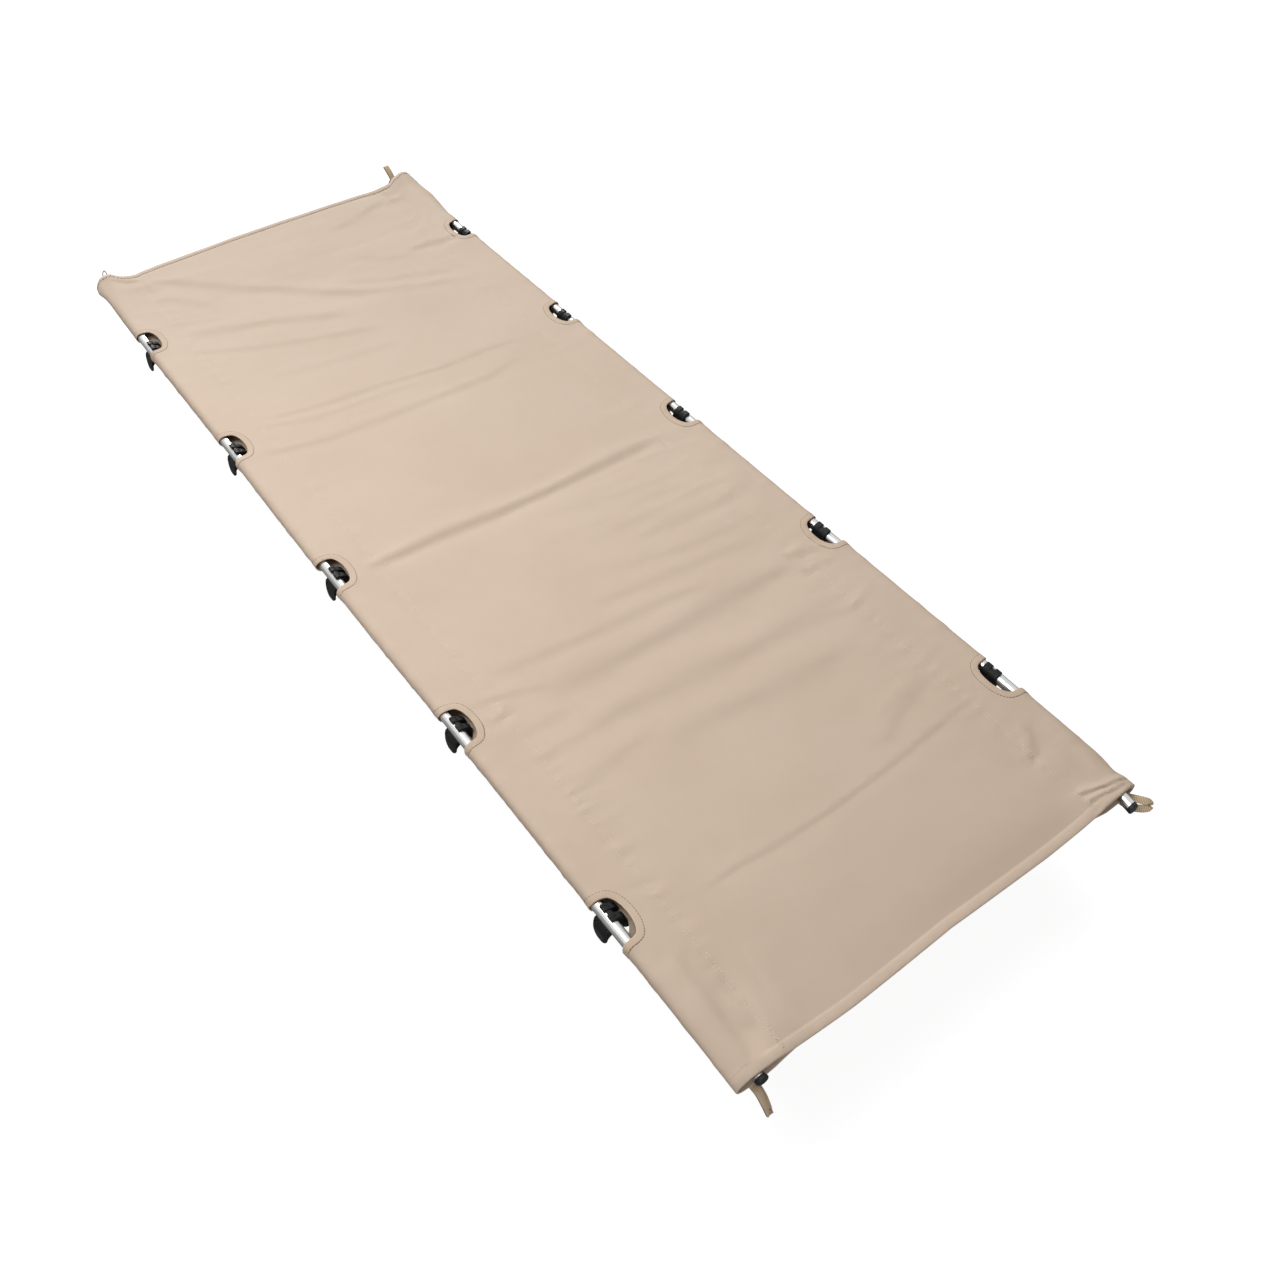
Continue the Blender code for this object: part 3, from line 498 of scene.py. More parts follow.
def along_line(points, x, y):
    """Distance from a line of points, plus on its left side, and the place along it from 0 to 1."""
    lengths = [math.dist(a, b) for a, b in zip(points, points[1:])]
    best = np.full(np.shape(x), 1e9)
    place = np.zeros(np.shape(x))
    side = np.ones(np.shape(x))
    start = 0.0
    for (ax, ay), (bx, by), length in zip(points, points[1:], lengths):
        share = np.clip(((x - ax) * (bx - ax) + (y - ay) * (by - ay)) / length ** 2, 0.0, 1.0)
        gap = np.hypot(x - ax - share * (bx - ax), y - ay - share * (by - ay))
        closer = gap < best
        best = np.where(closer, gap, best)
        place = np.where(closer, (start + share * length) / sum(lengths), place)
        side = np.where(closer, np.sign((bx - ax) * (y - ay) - (by - ay) * (x - ax)), side)
        start += length
    return best * side, place


def fold_lines(x, y, folds):
    """Sum of the folds at (x, y)."""
    total = np.zeros(np.shape(x))
    for points, drop, ridge, width in folds:
        gap, place = along_line(points, x, y)
        fade = smooth(place, 0.0, 0.14) * (1.0 - smooth(place, 0.82, 1.0))
        wander = 1.0 + 0.22 * np.sin(place * 13.0 + width * 5000.0)
        away = gap / (width * wander)
        step = drop * np.tanh(away) * np.exp(-(away / 3.4) ** 2)
        total = total + fade * (step + ridge * np.exp(-away ** 2))
    return total * FOLD_STRENGTH


def waves(seed, count, low, high, spread, height):
    """Seeded soft unevenness: many small waves in slightly different directions."""
    chance = random.Random(seed)
    made = []
    for _ in range(count):
        length = math.exp(chance.uniform(math.log(low), math.log(high)))
        turn = math.pi / 2 + chance.gauss(0.0, spread)
        made.append((math.cos(turn) * 2 * math.pi / length, math.sin(turn) * 2 * math.pi / length,
                     chance.uniform(0, 7), height * (length / high) * chance.uniform(0.5, 1.0)))
    return made


def add_waves(made, x, y):
    return sum(height * np.sin(kx * x + ky * y + phase) for kx, ky, phase, height in made)


BROAD = waves(3, 9, 0.16, 0.60, 0.35, 0.0008)
FINE = waves(8, 14, 0.022, 0.085, 0.28, 0.0006)
LOOSE = waves(21, 12, 0.05, 0.20, 0.7, 0.0016)


def pucker_row(seed, seam, pitch):
    """Short dents across a seam, from both its sides."""
    chance = random.Random(seed)
    made = []
    y = -0.92
    while y < 0.92:
        y += pitch * chance.uniform(0.6, 1.6)
        reach = chance.uniform(0.018, 0.05)
        lean = chance.uniform(-0.35, 0.35)
        made.append((seam, y, reach * chance.choice((0.3, 1.0)), reach * chance.choice((0.5, 1.0)), lean,
                     chance.uniform(0.35, 1.0) * chance.choice((-0.6, 1.0)), chance.uniform(0.0032, 0.006)))
    return made


PUCKERS = pucker_row(5, -SEAM_X, 0.019) + pucker_row(6, SEAM_X, 0.017)


def seam_puckers(x, y):
    total = np.zeros(np.shape(x))
    for seam, middle, inner, outer, lean, height, width in PUCKERS:
        away = np.abs(x) - abs(seam)
        off = y - middle - lean * np.abs(away)
        close = (np.sign(x) == math.copysign(1.0, seam)) & (np.abs(off) < width * 3) & (np.abs(away) < 0.06)
        reach = np.where(away < 0, inner, outer)
        shape = np.exp(-(off / width) ** 2) * np.exp(-(away / reach) ** 2)
        total = total + np.where(close, 0.0009 * height * shape, 0.0)
    busy = np.where(x > 0, 0.5 + 1.2 * np.exp(-((y + 0.50) / 0.17) ** 2), 0.5 + 0.9 * smooth(-y, 0.35, 0.60))
    return total * busy


SEAM_ROWS = (SEAM_X + 0.0052, SEAM_X + 0.0094)
HEM = {-1: 0.0145, 1: 0.0105}
HEM_LINE = {end: END[end] - end * (HEM[end] - 0.0012) for end in END}


def sewn_lines(x, y):
    """Grooves under the stitches, the thicker bands of the two hems and the hollow beside the near one."""
    relief = sum(-0.00060 * np.exp(-((np.abs(x) - row) / 0.0012) ** 2) for row in SEAM_ROWS)
    for end, high, groove in ((-1, 0.0006, 0.0006), (1, 0.0011, 0.0010)):
        inside_by = (END[end] - y) * end
        relief = relief + high * (1.0 - smooth(inside_by, HEM[end] - 0.003, HEM[end] + 0.001))
        relief = relief - groove * np.exp(-((y - HEM_LINE[end]) / 0.0014) ** 2)
    hollow = (y - END[-1]) - HEM[-1]
    dip = np.where(hollow > 0, np.exp(-np.abs(hollow / 0.026) ** 1.5), 1.0 + hollow * 36.0)
    depth = 0.0040 * (0.45 + 0.55 * smooth(x, -0.20, 0.05)) * (1.0 - smooth(np.abs(x), 0.20, 0.27))
    return relief - depth * dip * (hollow < 0.12)


def cloth_relief(x, y):
    """Height of the folds above the taut cloth, before it is faded out near the poles."""
    ripples = smooth(x, -0.05, 0.12) * np.exp(-((y + 0.17) / 0.12) ** 2)
    relief = fold_lines(x, y, FOLDS) + add_waves(BROAD, x, y) * 0.8
    relief = relief + add_waves(FINE, x, y) * (0.07 + 0.30 * ripples + 0.12 * smooth(y, 0.45, 0.70))
    return relief + seam_puckers(x, y) + sewn_lines(x, y)


print("folds set by hand:", len(FOLDS + PULLED_CORNER + CORNER_FOLDS), "puckers:", len(PUCKERS))

# %% [markdown]
# ## From the unrolled cloth to its place
# `lie` gives the taut place of a point and its outward direction. `spot` adds the folds and then lifts the
# point by a thickness, which bindings and stitches use, so that they follow every wrinkle.

# %% Place of a cloth point
def taut(s, y):
    """Section place (x, z) and outward direction (nx, nz) of unrolled points, as if all lay on the right."""
    side = np.sign(s) + (s == 0)
    u = np.abs(s)
    centre, radius, wide, top, low, lengths = sleeve(side, y)
    t = (u - SEAM_X) / SLEEVE_LENGTH * sum(lengths)
    section = [u * 1.0, SEAM_HEIGHT - SAG * (1.0 - np.minimum(u / SEAM_X, 1.0) ** 2), np.zeros_like(u),
               np.ones_like(u)]

    def put(where, *values):
        section[:] = [np.where(where, new, old) for new, old in zip(values, section)]

    def round_pole(start, turn, half_width):
        across = np.cos(turn) / half_width
        up = np.sin(turn) / radius
        size = np.hypot(across, up)
        put(t > start, centre + half_width * np.cos(turn), POLE_HEIGHT + radius * np.sin(turn), across / size,
            up / size)

    put(t > 0, SEAM_X + t * np.cos(top), SEAM_HEIGHT + t * np.sin(top), -np.sin(top), np.cos(top))
    start = lengths[0]
    round_pole(start, math.pi / 2 + top - (t - start) / radius, radius)
    start = start + lengths[1]
    round_pole(start, math.pi / 2 * (1.0 - (t - start) / lengths[2]), wide)
    start = start + lengths[2]
    round_pole(start, -math.pi / 2 * (t - start) / lengths[3], wide)
    start = start + lengths[3]
    round_pole(start, -math.pi / 2 - (t - start) / radius, radius)
    start = start + lengths[4]
    left = start + lengths[5] - t
    below = SEAM_HEIGHT - LAYER_GAP
    put(t > start, SEAM_X + left * np.cos(low), below + left * np.sin(low), np.sin(low), -np.cos(low))
    put(left < 0, SEAM_X + left, below + left * 0.12, 0.0, -1.0)
    return side, *section, t, lengths


def end_bend(s, y):
    """Moves the two ends: their corners don't lie on one straight line."""
    u = np.abs(s)
    folded = np.sign(s) * np.minimum(u, 2 * FOLD_S - u)
    near = np.interp(folded, [-FOLD_S, -0.25, -0.16, 0.0, 0.16, 0.27, FOLD_S],
                     [-0.0060, -0.0045, -0.0040, 0.0045, 0.0038, 0.0070, 0.0105])
    far_places = [-FOLD_S, -0.318, -0.312, -0.305, -0.2936, -0.2827, -0.274, -0.264, -0.252, -0.239, -0.21,
                  -0.15, -0.05, 0.05, 0.15, 0.22, 0.25, 0.26, 0.27, 0.28, 0.29, 0.296, 0.305, 0.318, FOLD_S]
    far = np.interp(folded, far_places,
                    [-0.0200, -0.0125, -0.0045, -0.0015, -0.0014, -0.0157, -0.0225, -0.0240, -0.0203, -0.0137,
                     -0.0078, -0.0010, 0.0080, 0.0080, 0.0010, -0.0070, -0.0120, -0.0145, -0.0164, -0.0115,
                     -0.0045, 0.0005, 0.0116, 0.0160, 0.0150])
    return near * (1.0 - smooth(y, -0.93, -0.86)) + far * smooth(y, 0.86, 0.935)


def relief_at(x, y, t, lengths):
    """Folds of the upper cloth, soft slack in the lower, nothing where the pole lies under it."""
    upper = 1.0 - smooth(t, lengths[0] - 0.024, lengths[0] - 0.004)
    rim = smooth(t, lengths[0] - 0.024, lengths[0])
    back = t - sum(lengths[:5])
    lower = np.clip(back / lengths[5], 0.0, 1.0)
    slack = smooth(np.abs(y), 0.80, 0.93)
    high = cloth_relief(x, y) + slack * smooth(np.abs(x), 0.20, 0.25) * add_waves(LOOSE, x, y) * 0.9
    tiny = np.maximum(0.0, add_waves(FINE, x * 2.0, y * 1.4)) * 0.45 * rim * (back < 0)
    low = np.sin(np.pi * lower) * (0.0022 + add_waves(LOOSE, x, y) * 0.8) * (back > 0)
    over = 1.0 - smooth(t, sum(lengths[:2]) + 0.004, sum(lengths[:3]))
    corner = np.maximum(-0.0012, fold_lines(x, y, PULLED_CORNER + CORNER_FOLDS)) * over
    return high * upper + tiny + low + corner


def lie(s, y):
    """Place of unrolled points, folds included."""
    side, x, z, nx, nz, t, lengths = taut(s, y)
    height = relief_at(side * x, y, t, lengths)
    return np.stack([side * (x + nx * height), y + end_bend(s, y), z + nz * height], axis=-1)


def spot(s, y, lift=0.0):
    """Points of the finished cloth, each lifted off its middle surface by lift."""
    s = np.asarray(s, dtype=float)
    y = np.asarray(y, dtype=float)
    tiny = 0.0006
    across = lie(s + tiny, y) - lie(s - tiny, y)
    along = lie(s, y + tiny) - lie(s, y - tiny)
    normal = np.cross(across, along)
    normal /= np.linalg.norm(normal, axis=-1, keepdims=True)
    return lie(s, y) + normal * np.asarray(lift, dtype=float)[..., None]


def window_outline(steps=10):
    """One window of the unrolled cloth about its middle, from the upper layer round to the lower."""
    mouth = 0.0055
    half = []
    for i in range(steps + 1):
        turn = math.pi * i / steps
        inwards = mouth + (WINDOW_DEPTH - mouth) * math.sin(turn) ** 0.7
        half.append((inwards, -WINDOW_HALF * math.cos(turn)))
    ends = [(d, WINDOW_HALF + 0.0030 * ((mouth - d) / 0.02) ** 1.5) for d in (0.001, -0.004, -0.009)]
    upper = [(d, -y) for d, y in reversed(ends)] + half + ends
    upper = [(max(d, POLE_X - FOLD_S + 0.0015), y) for d, y in upper]
    lower = []
    for d, y in reversed(upper):
        if abs(y) < WINDOW_HALF:
            turn = math.acos(-y / WINDOW_HALF)
            d = min(d, 0.0060 + (WINDOW_DEPTH - 0.0060) * math.sin(turn) ** 7)
        lower.append((2 * FOLD_S - (POLE_X - d), y))
    last = WINDOW_HALF + 0.0036
    return [(POLE_X - d, y) for d, y in upper] + [(FOLD_S, last)] + lower + [(FOLD_S, -last)]


outline = window_outline()
print("window outline:", len(outline), "points")

# %% [markdown]
# ## The cloth
# A grid would waste points in the flat middle and be too coarse round the poles. Here points are scattered in
# staggered rows, closer together where the cloth bends, and joined into triangles with the ten windows as
# fixed loops. A fold narrower than `SHARP` gets points of its own, and so does the pulled corner. The folded
# hem at each end is part of the same sheet: past the end, a point rolls under the cloth.

# %% Cloth sheet
HEM_ROLL = 0.00085


def hem_place(v):
    """Place v along the cloth, past its end in the hem: its y and its lift."""
    y = v
    lift = np.zeros_like(v)
    for end in (-1, 1):
        past = (v - END[end]) * end
        turn = np.clip(past / HEM_ROLL, 0.0, math.pi)
        back = np.maximum(0.0, past - math.pi * HEM_ROLL)
        y = np.where(past > 0, END[end] + end * (HEM_ROLL * np.sin(turn) - back), y)
        lift = np.where(past > 0, -HEM_ROLL * (1.0 - np.cos(turn)), lift)
    return y, lift


def rows(columns, spacing, first, last):
    """Staggered points at the given columns."""
    points = []
    for number, column in enumerate(columns):
        count = max(2, round((last - first) / spacing(column)))
        for k in range(count + 1):
            shift = 0.5 if number % 2 and 0 < k < count else 0.0
            points.append((column, first + (last - first) * min(1.0, (k + shift) / count)))
    return points


def half_columns():
    pole_start = SEAM_X + REST_LENGTHS[0]
    pole_end = pole_start + (REST_LENGTHS[1] + REST_LENGTHS[2] * 2 + REST_LENGTHS[4])
    places = list(np.linspace(0.0, SEAM_X - 0.0045, 21))
    places += [SEAM_X + step for step in (0.0005, 0.0032, 0.0052, 0.0073, 0.0094, 0.0116, 0.0155)]
    places += list(np.linspace(SEAM_X + 0.0215, pole_start, 9))
    places += list(np.linspace(pole_start, pole_end, 9))[1:]
    return places + list(np.linspace(pole_end, LOWER_S, 6))[1:]


all_columns = [-c for c in reversed(half_columns()[1:])] + half_columns()


def column_step(column):
    place = abs(column)
    if place < SEAM_X + 0.03:
        return 0.0061
    return 0.0075 if place < FOLD_S else 0.0140


def inside(loop, points):
    """Which points lie inside a closed loop: a line from such a point crosses it an odd number of times."""
    odd = np.zeros(len(points), dtype=bool)
    for (ax, ay), (bx, by) in zip(loop, np.roll(loop, -1, axis=0)):
        odd ^= ((ay > points[:, 1]) != (by > points[:, 1])) & (
            points[:, 0] < (bx - ax) * (points[:, 1] - ay) / (by - ay + 1e-12) + ax)
    return odd


def clear_of(loop, points, gap):
    """Keeps the points that lie outside the loop by more than gap."""
    keep = ~inside(loop, points)
    near = np.all((points > loop.min(axis=0) - gap) & (points < loop.max(axis=0) + gap), axis=1)
    run = np.roll(loop, -1, axis=0) - loop
    for index in np.nonzero(near)[0]:
        away = points[index] - loop
        share = np.clip((away * run).sum(axis=1) / (run ** 2).sum(axis=1), 0.0, 1.0)
        keep[index] &= np.hypot(*(run * share[:, None] - away).T).min() > gap
    return points[keep]


def places_along(points, wanted):
    """Places along a line of points, at the distances that wanted gives for its length."""
    place = np.concatenate([[0.0], np.cumsum(np.hypot(*(points[1:] - points[:-1]).T))])
    wanted = wanted(place[-1])
    return np.stack([np.interp(wanted, place, points[:, 0]), np.interp(wanted, place, points[:, 1])], axis=1)


def fold_steps(length):
    return np.linspace(0.0, length, max(3, int(length / 0.010)))[1:-1]


scattered = np.array(rows(all_columns, column_step, END[-1], END[1]))
loops = [np.array([(side * s, middle + y) for s, y in outline[::side]])
         for side in (-1, 1) for middle in WINDOWS]
for loop in loops:
    scattered = clear_of(loop, scattered, 0.0022)
left, right, near, far = 0.2480, 0.3320, -0.9335, -0.8860
scattered = scattered[~np.all((scattered > (left, near)) & (scattered < (right, far)), axis=1)]
corner_points = rows(np.arange(left, right, 0.0022), lambda column: 0.0022, near, far)
extra = [p for p in corner_points if abs(p[1] - HEM_LINE[-1]) > 0.0008]
for points, *_, width in FOLDS + CORNER_FOLDS:
    if width < SHARP:
        gap, place = along_line(points, scattered[:, 0], scattered[:, 1])
        scattered = scattered[(np.abs(gap) > width * 1.7) | (place < 0.01) | (place > 0.99)]
        spine = np.array(points)
        run = spine[-1] - spine[0]
        off = np.array([-run[1], run[0]]) / np.hypot(*run)
        mid = places_along(spine, fold_steps)
        extra += [tuple(p + off * width * step) for step in (-1.0, 0.0, 1.0) for p in mid]
extra = [p for p in extra if all(abs(p[0]) < 0.282 or abs(p[1] - w) > 0.048 for w in WINDOWS)]
for end in (-1, 1):
    off = np.abs(scattered[:, 1] - HEM_LINE[end])
    scattered = scattered[(off > 0.0062) | (np.abs(scattered[:, 1]) > abs(END[end]) - 0.001)]
    steps = (-0.0040, -0.0017, 0.0, 0.0017, 0.0040)
    extra += [(c, HEM_LINE[end] + end * step) for step in steps for c in all_columns]
for end in (-1, 1):
    rolled = math.pi * HEM_ROLL
    past = [rolled * 0.34, rolled * 0.67, rolled, rolled + HEM[end] * 0.5, rolled + HEM[end]]
    extra += [(c, END[end] + end * further) for further in past for c in all_columns]
flat_points = [tuple(p) for p in scattered] + extra
edges = []
for loop in loops:
    start = len(flat_points)
    flat_points += [tuple(p) for p in loop]
    edges += [(start + k, start + (k + 1) % len(loop)) for k in range(len(loop))]
made = delaunay_2d_cdt([Vector(p) for p in flat_points], edges, [], 0, 1e-6)
flat = np.array([tuple(v) for v in made[0]])
triangles = np.array([tuple(f) for f in made[2]])
for loop in loops:
    triangles = triangles[~inside(loop, flat[triangles].mean(axis=1))]
print("cloth:", len(flat), "points,", len(triangles), "triangles")

# %% [markdown]
# ## Soft pieces of one kind
# Cloth, tapes, threads and webbing are all made the same way. Points and faces become a mesh, and the
# unrolled places, where they are given, become its UV map; the threads have none. Loose points go, and all
# faces turn outwards. Each piece then rides the frame's body, because none of them moves.

# %% Cloth object
def placed(name, mesh, body, replaced=None):
    piece = bpy.data.objects.new(name, mesh)
    bpy.context.scene.collection.objects.link(piece)
    if replaced:
        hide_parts(replaced)
    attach(piece, body)
    return piece


def soft_piece(name, points, faces, finish, lay=None, merge=True, replaced=None):
    """A piece from points and faces; merge joins the points that lie on each other."""
    mesh = bpy.data.meshes.new(name)
    mesh.from_pydata([tuple(p) for p in points], [], [tuple(int(i) for i in f) for f in faces])
    if lay is not None:
        layer = mesh.uv_layers.new(name="Cloth")
        corners = np.empty(len(mesh.loops), dtype=np.int32)
        mesh.loops.foreach_get("vertex_index", corners)
        layer.data.foreach_set("uv", np.array(lay, dtype=np.float32)[corners].ravel())
    mesh.materials.append(finish.material)
    mesh.polygons.foreach_set("use_smooth", [True] * len(mesh.polygons))
    work = bmesh.new()
    work.from_mesh(mesh)
    if merge:
        bmesh.ops.remove_doubles(work, verts=work.verts, dist=1e-6)
    bmesh.ops.delete(work, geom=[v for v in work.verts if not v.link_faces], context="VERTS")
    bmesh.ops.recalc_face_normals(work, faces=work.faces)
    work.to_mesh(mesh)
    work.free()
    return placed(name, mesh, FRAME_BODY, replaced)


y_flat, lift_flat = hem_place(flat[:, 1])
cloth_points = spot(flat[:, 0], y_flat, lift_flat)
cloth = soft_piece("cloth_sheet", cloth_points, triangles, cloth_finish, flat, False, "cover")
shell = cloth.modifiers.new("thickness", "SOLIDIFY")
shell.thickness = CLOTH
shell.offset = 0.0
print("cloth mesh:", len(cloth.data.vertices), len(cloth.data.polygons))

# %% [markdown]
# ## Window bindings
# The cut edge of each window is wrapped in a folded tape about 9 mm wide. Its section is a thin U. It is laid
# along the window's outline on the unrolled cloth, pushed outwards by its width, and then takes the cloth's
# place, so it goes round the pole with it.

# %% Window bindings
BINDING_WIDTH = 0.0092
BINDING_STEPS = 64
TAPE_SECTION = [(1.0, 0.00025), (1.0, 0.00050), (0.93, 0.00058), (0.12, 0.00058), (-0.04, 0.00036),
                (-0.04, -0.00036), (0.12, -0.00058), (0.93, -0.00058), (1.0, -0.00025)]


def outside_loop(loop, count, distance):
    """Even points round a loop, moved outwards by distance along the mean of their edge normals."""
    closed = np.concatenate([loop, loop[:1]])
    points = places_along(closed, lambda length: np.linspace(0.0, length, count, endpoint=False))
    after = np.roll(points, -1, axis=0)
    run = after - np.roll(points, 1, axis=0)
    run /= np.linalg.norm(run, axis=1, keepdims=True)
    outward = np.stack([run[:, 1], -run[:, 0]], axis=1)
    area = 0.5 * np.sum(points[:, 0] * after[:, 1] - after[:, 0] * points[:, 1])
    return points + outward * distance * np.sign(area)


def wrap_faces(rings, around, closed=False):
    """Faces between rings that have the same number of points round them."""
    faces = []
    for i in range(rings if closed else rings - 1):
        one = i * around
        two = (i + 1) % rings * around
        for k in range(around):
            j = (k + 1) % around
            faces.append((one + k, one + j, two + j, two + k))
    return faces


def window_binding(number, loop):
    rings = []
    lay = []
    for share, lift in TAPE_SECTION:
        moved = outside_loop(loop, BINDING_STEPS, BINDING_WIDTH * share)
        rings.append(spot(moved[:, 0], moved[:, 1], lift))
        lay.append(np.stack([np.full(len(moved), share * BINDING_WIDTH + number * 0.1),
                             np.arange(len(moved)) * 0.0042], axis=1))
    return soft_piece(f"window_binding_{number}", np.concatenate(rings),
                      wrap_faces(len(rings), BINDING_STEPS, True), binding_finish, np.concatenate(lay))


bindings = [window_binding(k + 1, loop) for k, loop in enumerate(loops)]
print("bindings:", len(bindings), "faces each", len(bindings[0].data.polygons))

# %% [markdown]
# ## Stitches
# A row of stitches is a row of short threads lying on the cloth, one every 4 mm. Each thread here is a small
# pointed bar of eight triangles, pressed a little into the cloth. The side seams have two rows, which a short
# zigzag locks at the near end. The hems and the bindings have one row.

# %% Stitches
def stitches(name, paths, finish, length=0.0028, width=0.00034, raise_by=0.00048, pitch=0.004):
    """Rows of stitches along unrolled paths, as one piece."""
    points = []
    for path in paths:
        path = np.array(path)

        def at(shift):
            return places_along(path, lambda whole: np.arange(pitch / 2, whole, pitch) + shift).T

        start = spot(*at(-length / 2), raise_by * 0.55)
        stop = spot(*at(length / 2), raise_by * 0.55)
        high = spot(*at(0.0), raise_by + width)
        low = spot(*at(0.0), raise_by - width)
        run = stop - start
        run /= np.linalg.norm(run, axis=1, keepdims=True)
        sideways = np.cross(run, high - low)
        sideways *= width * 1.3 / np.linalg.norm(sideways, axis=1, keepdims=True)
        middle = (high + low) / 2
        points.append(np.stack([start, stop, high, middle + sideways, low, middle - sideways],
                               axis=1).reshape(-1, 3))
    points = np.concatenate(points)
    faces = []
    for first in range(0, len(points), 6):
        for i in range(4):
            one = first + 2 + i
            two = first + 2 + (i + 1) % 4
            faces += [(first, one, two), (first + 1, two, one)]
    return soft_piece(name, points, faces, finish, merge=False)


seam_rows = []
for side in (-1, 1):
    for place in SEAM_ROWS:
        seam_rows.append([(side * place, -0.9255), (side * place, 0.929)])
    seam_rows.append([(side * (SEAM_ROWS[k % 2] + 0.0006 * (k % 2)), -0.9150 - 0.0010 * k)
                      for k in range(14)])
near_hem, far_hem = ([(s, HEM_LINE[end]) for s in np.linspace(-FOLD_S + 0.004, FOLD_S - 0.004, 60)]
                     for end in (-1, 1))
binding_rows = []
for loop in loops:
    around = outside_loop(loop, 90, BINDING_WIDTH + 0.0003)
    binding_rows.append(np.concatenate([around, around[:1]]))
threads = [stitches("seam_stitches", seam_rows, thread_finish, 0.0033, 0.00050, pitch=0.0046),
           stitches("hem_stitches", [near_hem], thread_finish),
           # The far hem and window stitches are long and close, so they join into one dark line: thread, and
           # painted shadow along the window tape's outer edge and below the far hem.
           stitches("far_hem_stitches", [far_hem], dark_thread_with_painted_shadow_finish, 0.0048, 0.00085, pitch=0.0050),
           stitches("binding_stitches", binding_rows, dark_thread_with_painted_shadow_finish, 0.0044, 0.00036, 0.00042, 0.0042)]
print("stitches:", sum(len(o.data.polygons) for o in threads) // 8)

# %% [markdown]
# ## Pull loops
# At each corner a short strip of webbing is folded into a loop and its ends are sewn into the sleeve's mouth.
# Each one lies its own way in the photo: the near left one hangs down, the near right one opens outwards, and
# the far ones stand off as short stubs. A loop is a thin bar swept along a smooth path of given points, in
# millimetres, and the directions after them say how the strip turns on its way.

# %% Pull loops
WEB_WIDTH = 0.0098
WEB_THICK = 0.0015
WEB_SECTION = [(-0.5, -0.35), (-0.46, -0.5), (0.46, -0.5), (0.5, -0.35),
               (0.5, 0.35), (0.46, 0.5), (-0.46, 0.5), (-0.5, 0.35)]


def smooth_path(points, steps=6):
    """A smooth curve through given points."""
    points = [Vector(p) / 1000 for p in points]
    ends = [points[0]] + points + [points[-1]]
    path = []
    for p0, p1, p2, p3 in zip(ends, ends[1:], ends[2:], ends[3:]):
        for t in (k / steps for k in range(steps)):
            path.append(0.5 * ((2 * p1) + (p2 - p0) * t + (2 * p0 - 5 * p1 + 4 * p2 - p3) * t * t
                               + (3 * p1 - p0 - 3 * p2 + p3) * t ** 3))
    return path + [points[-1]]


def webbing_loop(corner, points, widths):
    """Strip along points; widths holds the strip's width direction at even places from start to end."""
    path = smooth_path(points)
    verts = []
    lay = []
    distance = 0.0
    for i, point in enumerate(path):
        run = (path[min(i + 1, len(path) - 1)] - path[max(i - 1, 0)]).normalized()
        share = i / (len(path) - 1) * (len(widths) - 1)
        index = min(int(share), len(widths) - 2)
        wide = Vector(widths[index]).lerp(Vector(widths[index + 1]), share - index)
        wide = (wide - run * wide.dot(run)).normalized()
        up = run.cross(wide)
        if i:
            distance += (point - path[i - 1]).length
        for a, b in WEB_SECTION:
            verts.append(point + wide * (a * WEB_WIDTH) + up * (b * WEB_THICK))
            lay.append((a * WEB_WIDTH, distance))
    count = len(WEB_SECTION)
    faces = wrap_faces(len(path), count) + [range(count)[::-1], range(len(verts) - count, len(verts))]
    return soft_piece(f"webbing_loop_{corner}", verts, faces, webbing_finish, lay,
                      replaced=f"pull_loop_{corner}")


EDGE_ON = (0.667, 0.392, 0.635)
ARCHED = (0.16, 0.85, -0.5)
LOOPS = {
    "left_near": ([(-304, -922, 129.5), (-303, -938, 129), (-302, -949, 126), (-301, -958, 115),
                   (-299, -963.5, 101), (-297.5, -965, 96), (-296, -961.5, 100), (-296.5, -954, 112),
                   (-298.5, -945, 123), (-300.5, -934, 127.2), (-302, -922, 127.4)],
                  [(0.9, 0.25, 0.1), (0.8, 0.5, 0.3), (0.75, 0.55, 0.35), (0.8, 0.5, 0.3), (0.9, 0.25, 0.1)]),
    "right_near": ([(306, -918, 130), (309, -929, 133.5), (314.5, -939.5, 136), (320, -947.5, 136.2),
                    (322.5, -951, 134), (321.5, -953, 131.5), (317.5, -952.5, 129.5), (312, -947.5, 127.5),
                    (306.5, -940, 126.2), (303, -930, 126.6), (301.5, -918, 127.4)],
                   [(0.8, 0.3, 0.4), EDGE_ON, EDGE_ON, EDGE_ON, (0.9, 0.3, 0.2)]),
    "right_far": ([(301, 925, 130), (302, 943, 133), (303.5, 958, 140), (304.5, 969, 148), (304, 978, 154.5),
                   (303.5, 983.5, 157), (303.5, 984.7, 154.5), (304, 978.5, 149), (304.5, 968, 141.5),
                   (303.5, 954, 133.5), (302, 938, 127.8), (301, 925, 127.4)],
                  [(1.0, 0.0, 0.1), (1.0, 0.05, 0.1), (1.0, 0.1, 0.0), (1.0, 0.05, 0.1), (1.0, 0.0, 0.1)]),
    "left_far": ([(-304, 925, 130), (-303.5, 943, 131.5), (-302.2, 957, 135), (-300.4, 964, 141.5),
                  (-297.8, 966.2, 146.5), (-295.2, 966.8, 148), (-293.4, 966, 145.5), (-292.8, 963, 140),
                  (-295, 955, 133.5), (-300.5, 944, 128.2), (-303.5, 925, 127.4)],
                 [(0.9, 0.1, 0.2), ARCHED, ARCHED, ARCHED, (0.9, 0.1, 0.2)]),
}
pull_loops = [webbing_loop(corner, *shape) for corner, shape in LOOPS.items()]
print("pull loops:", len(pull_loops))

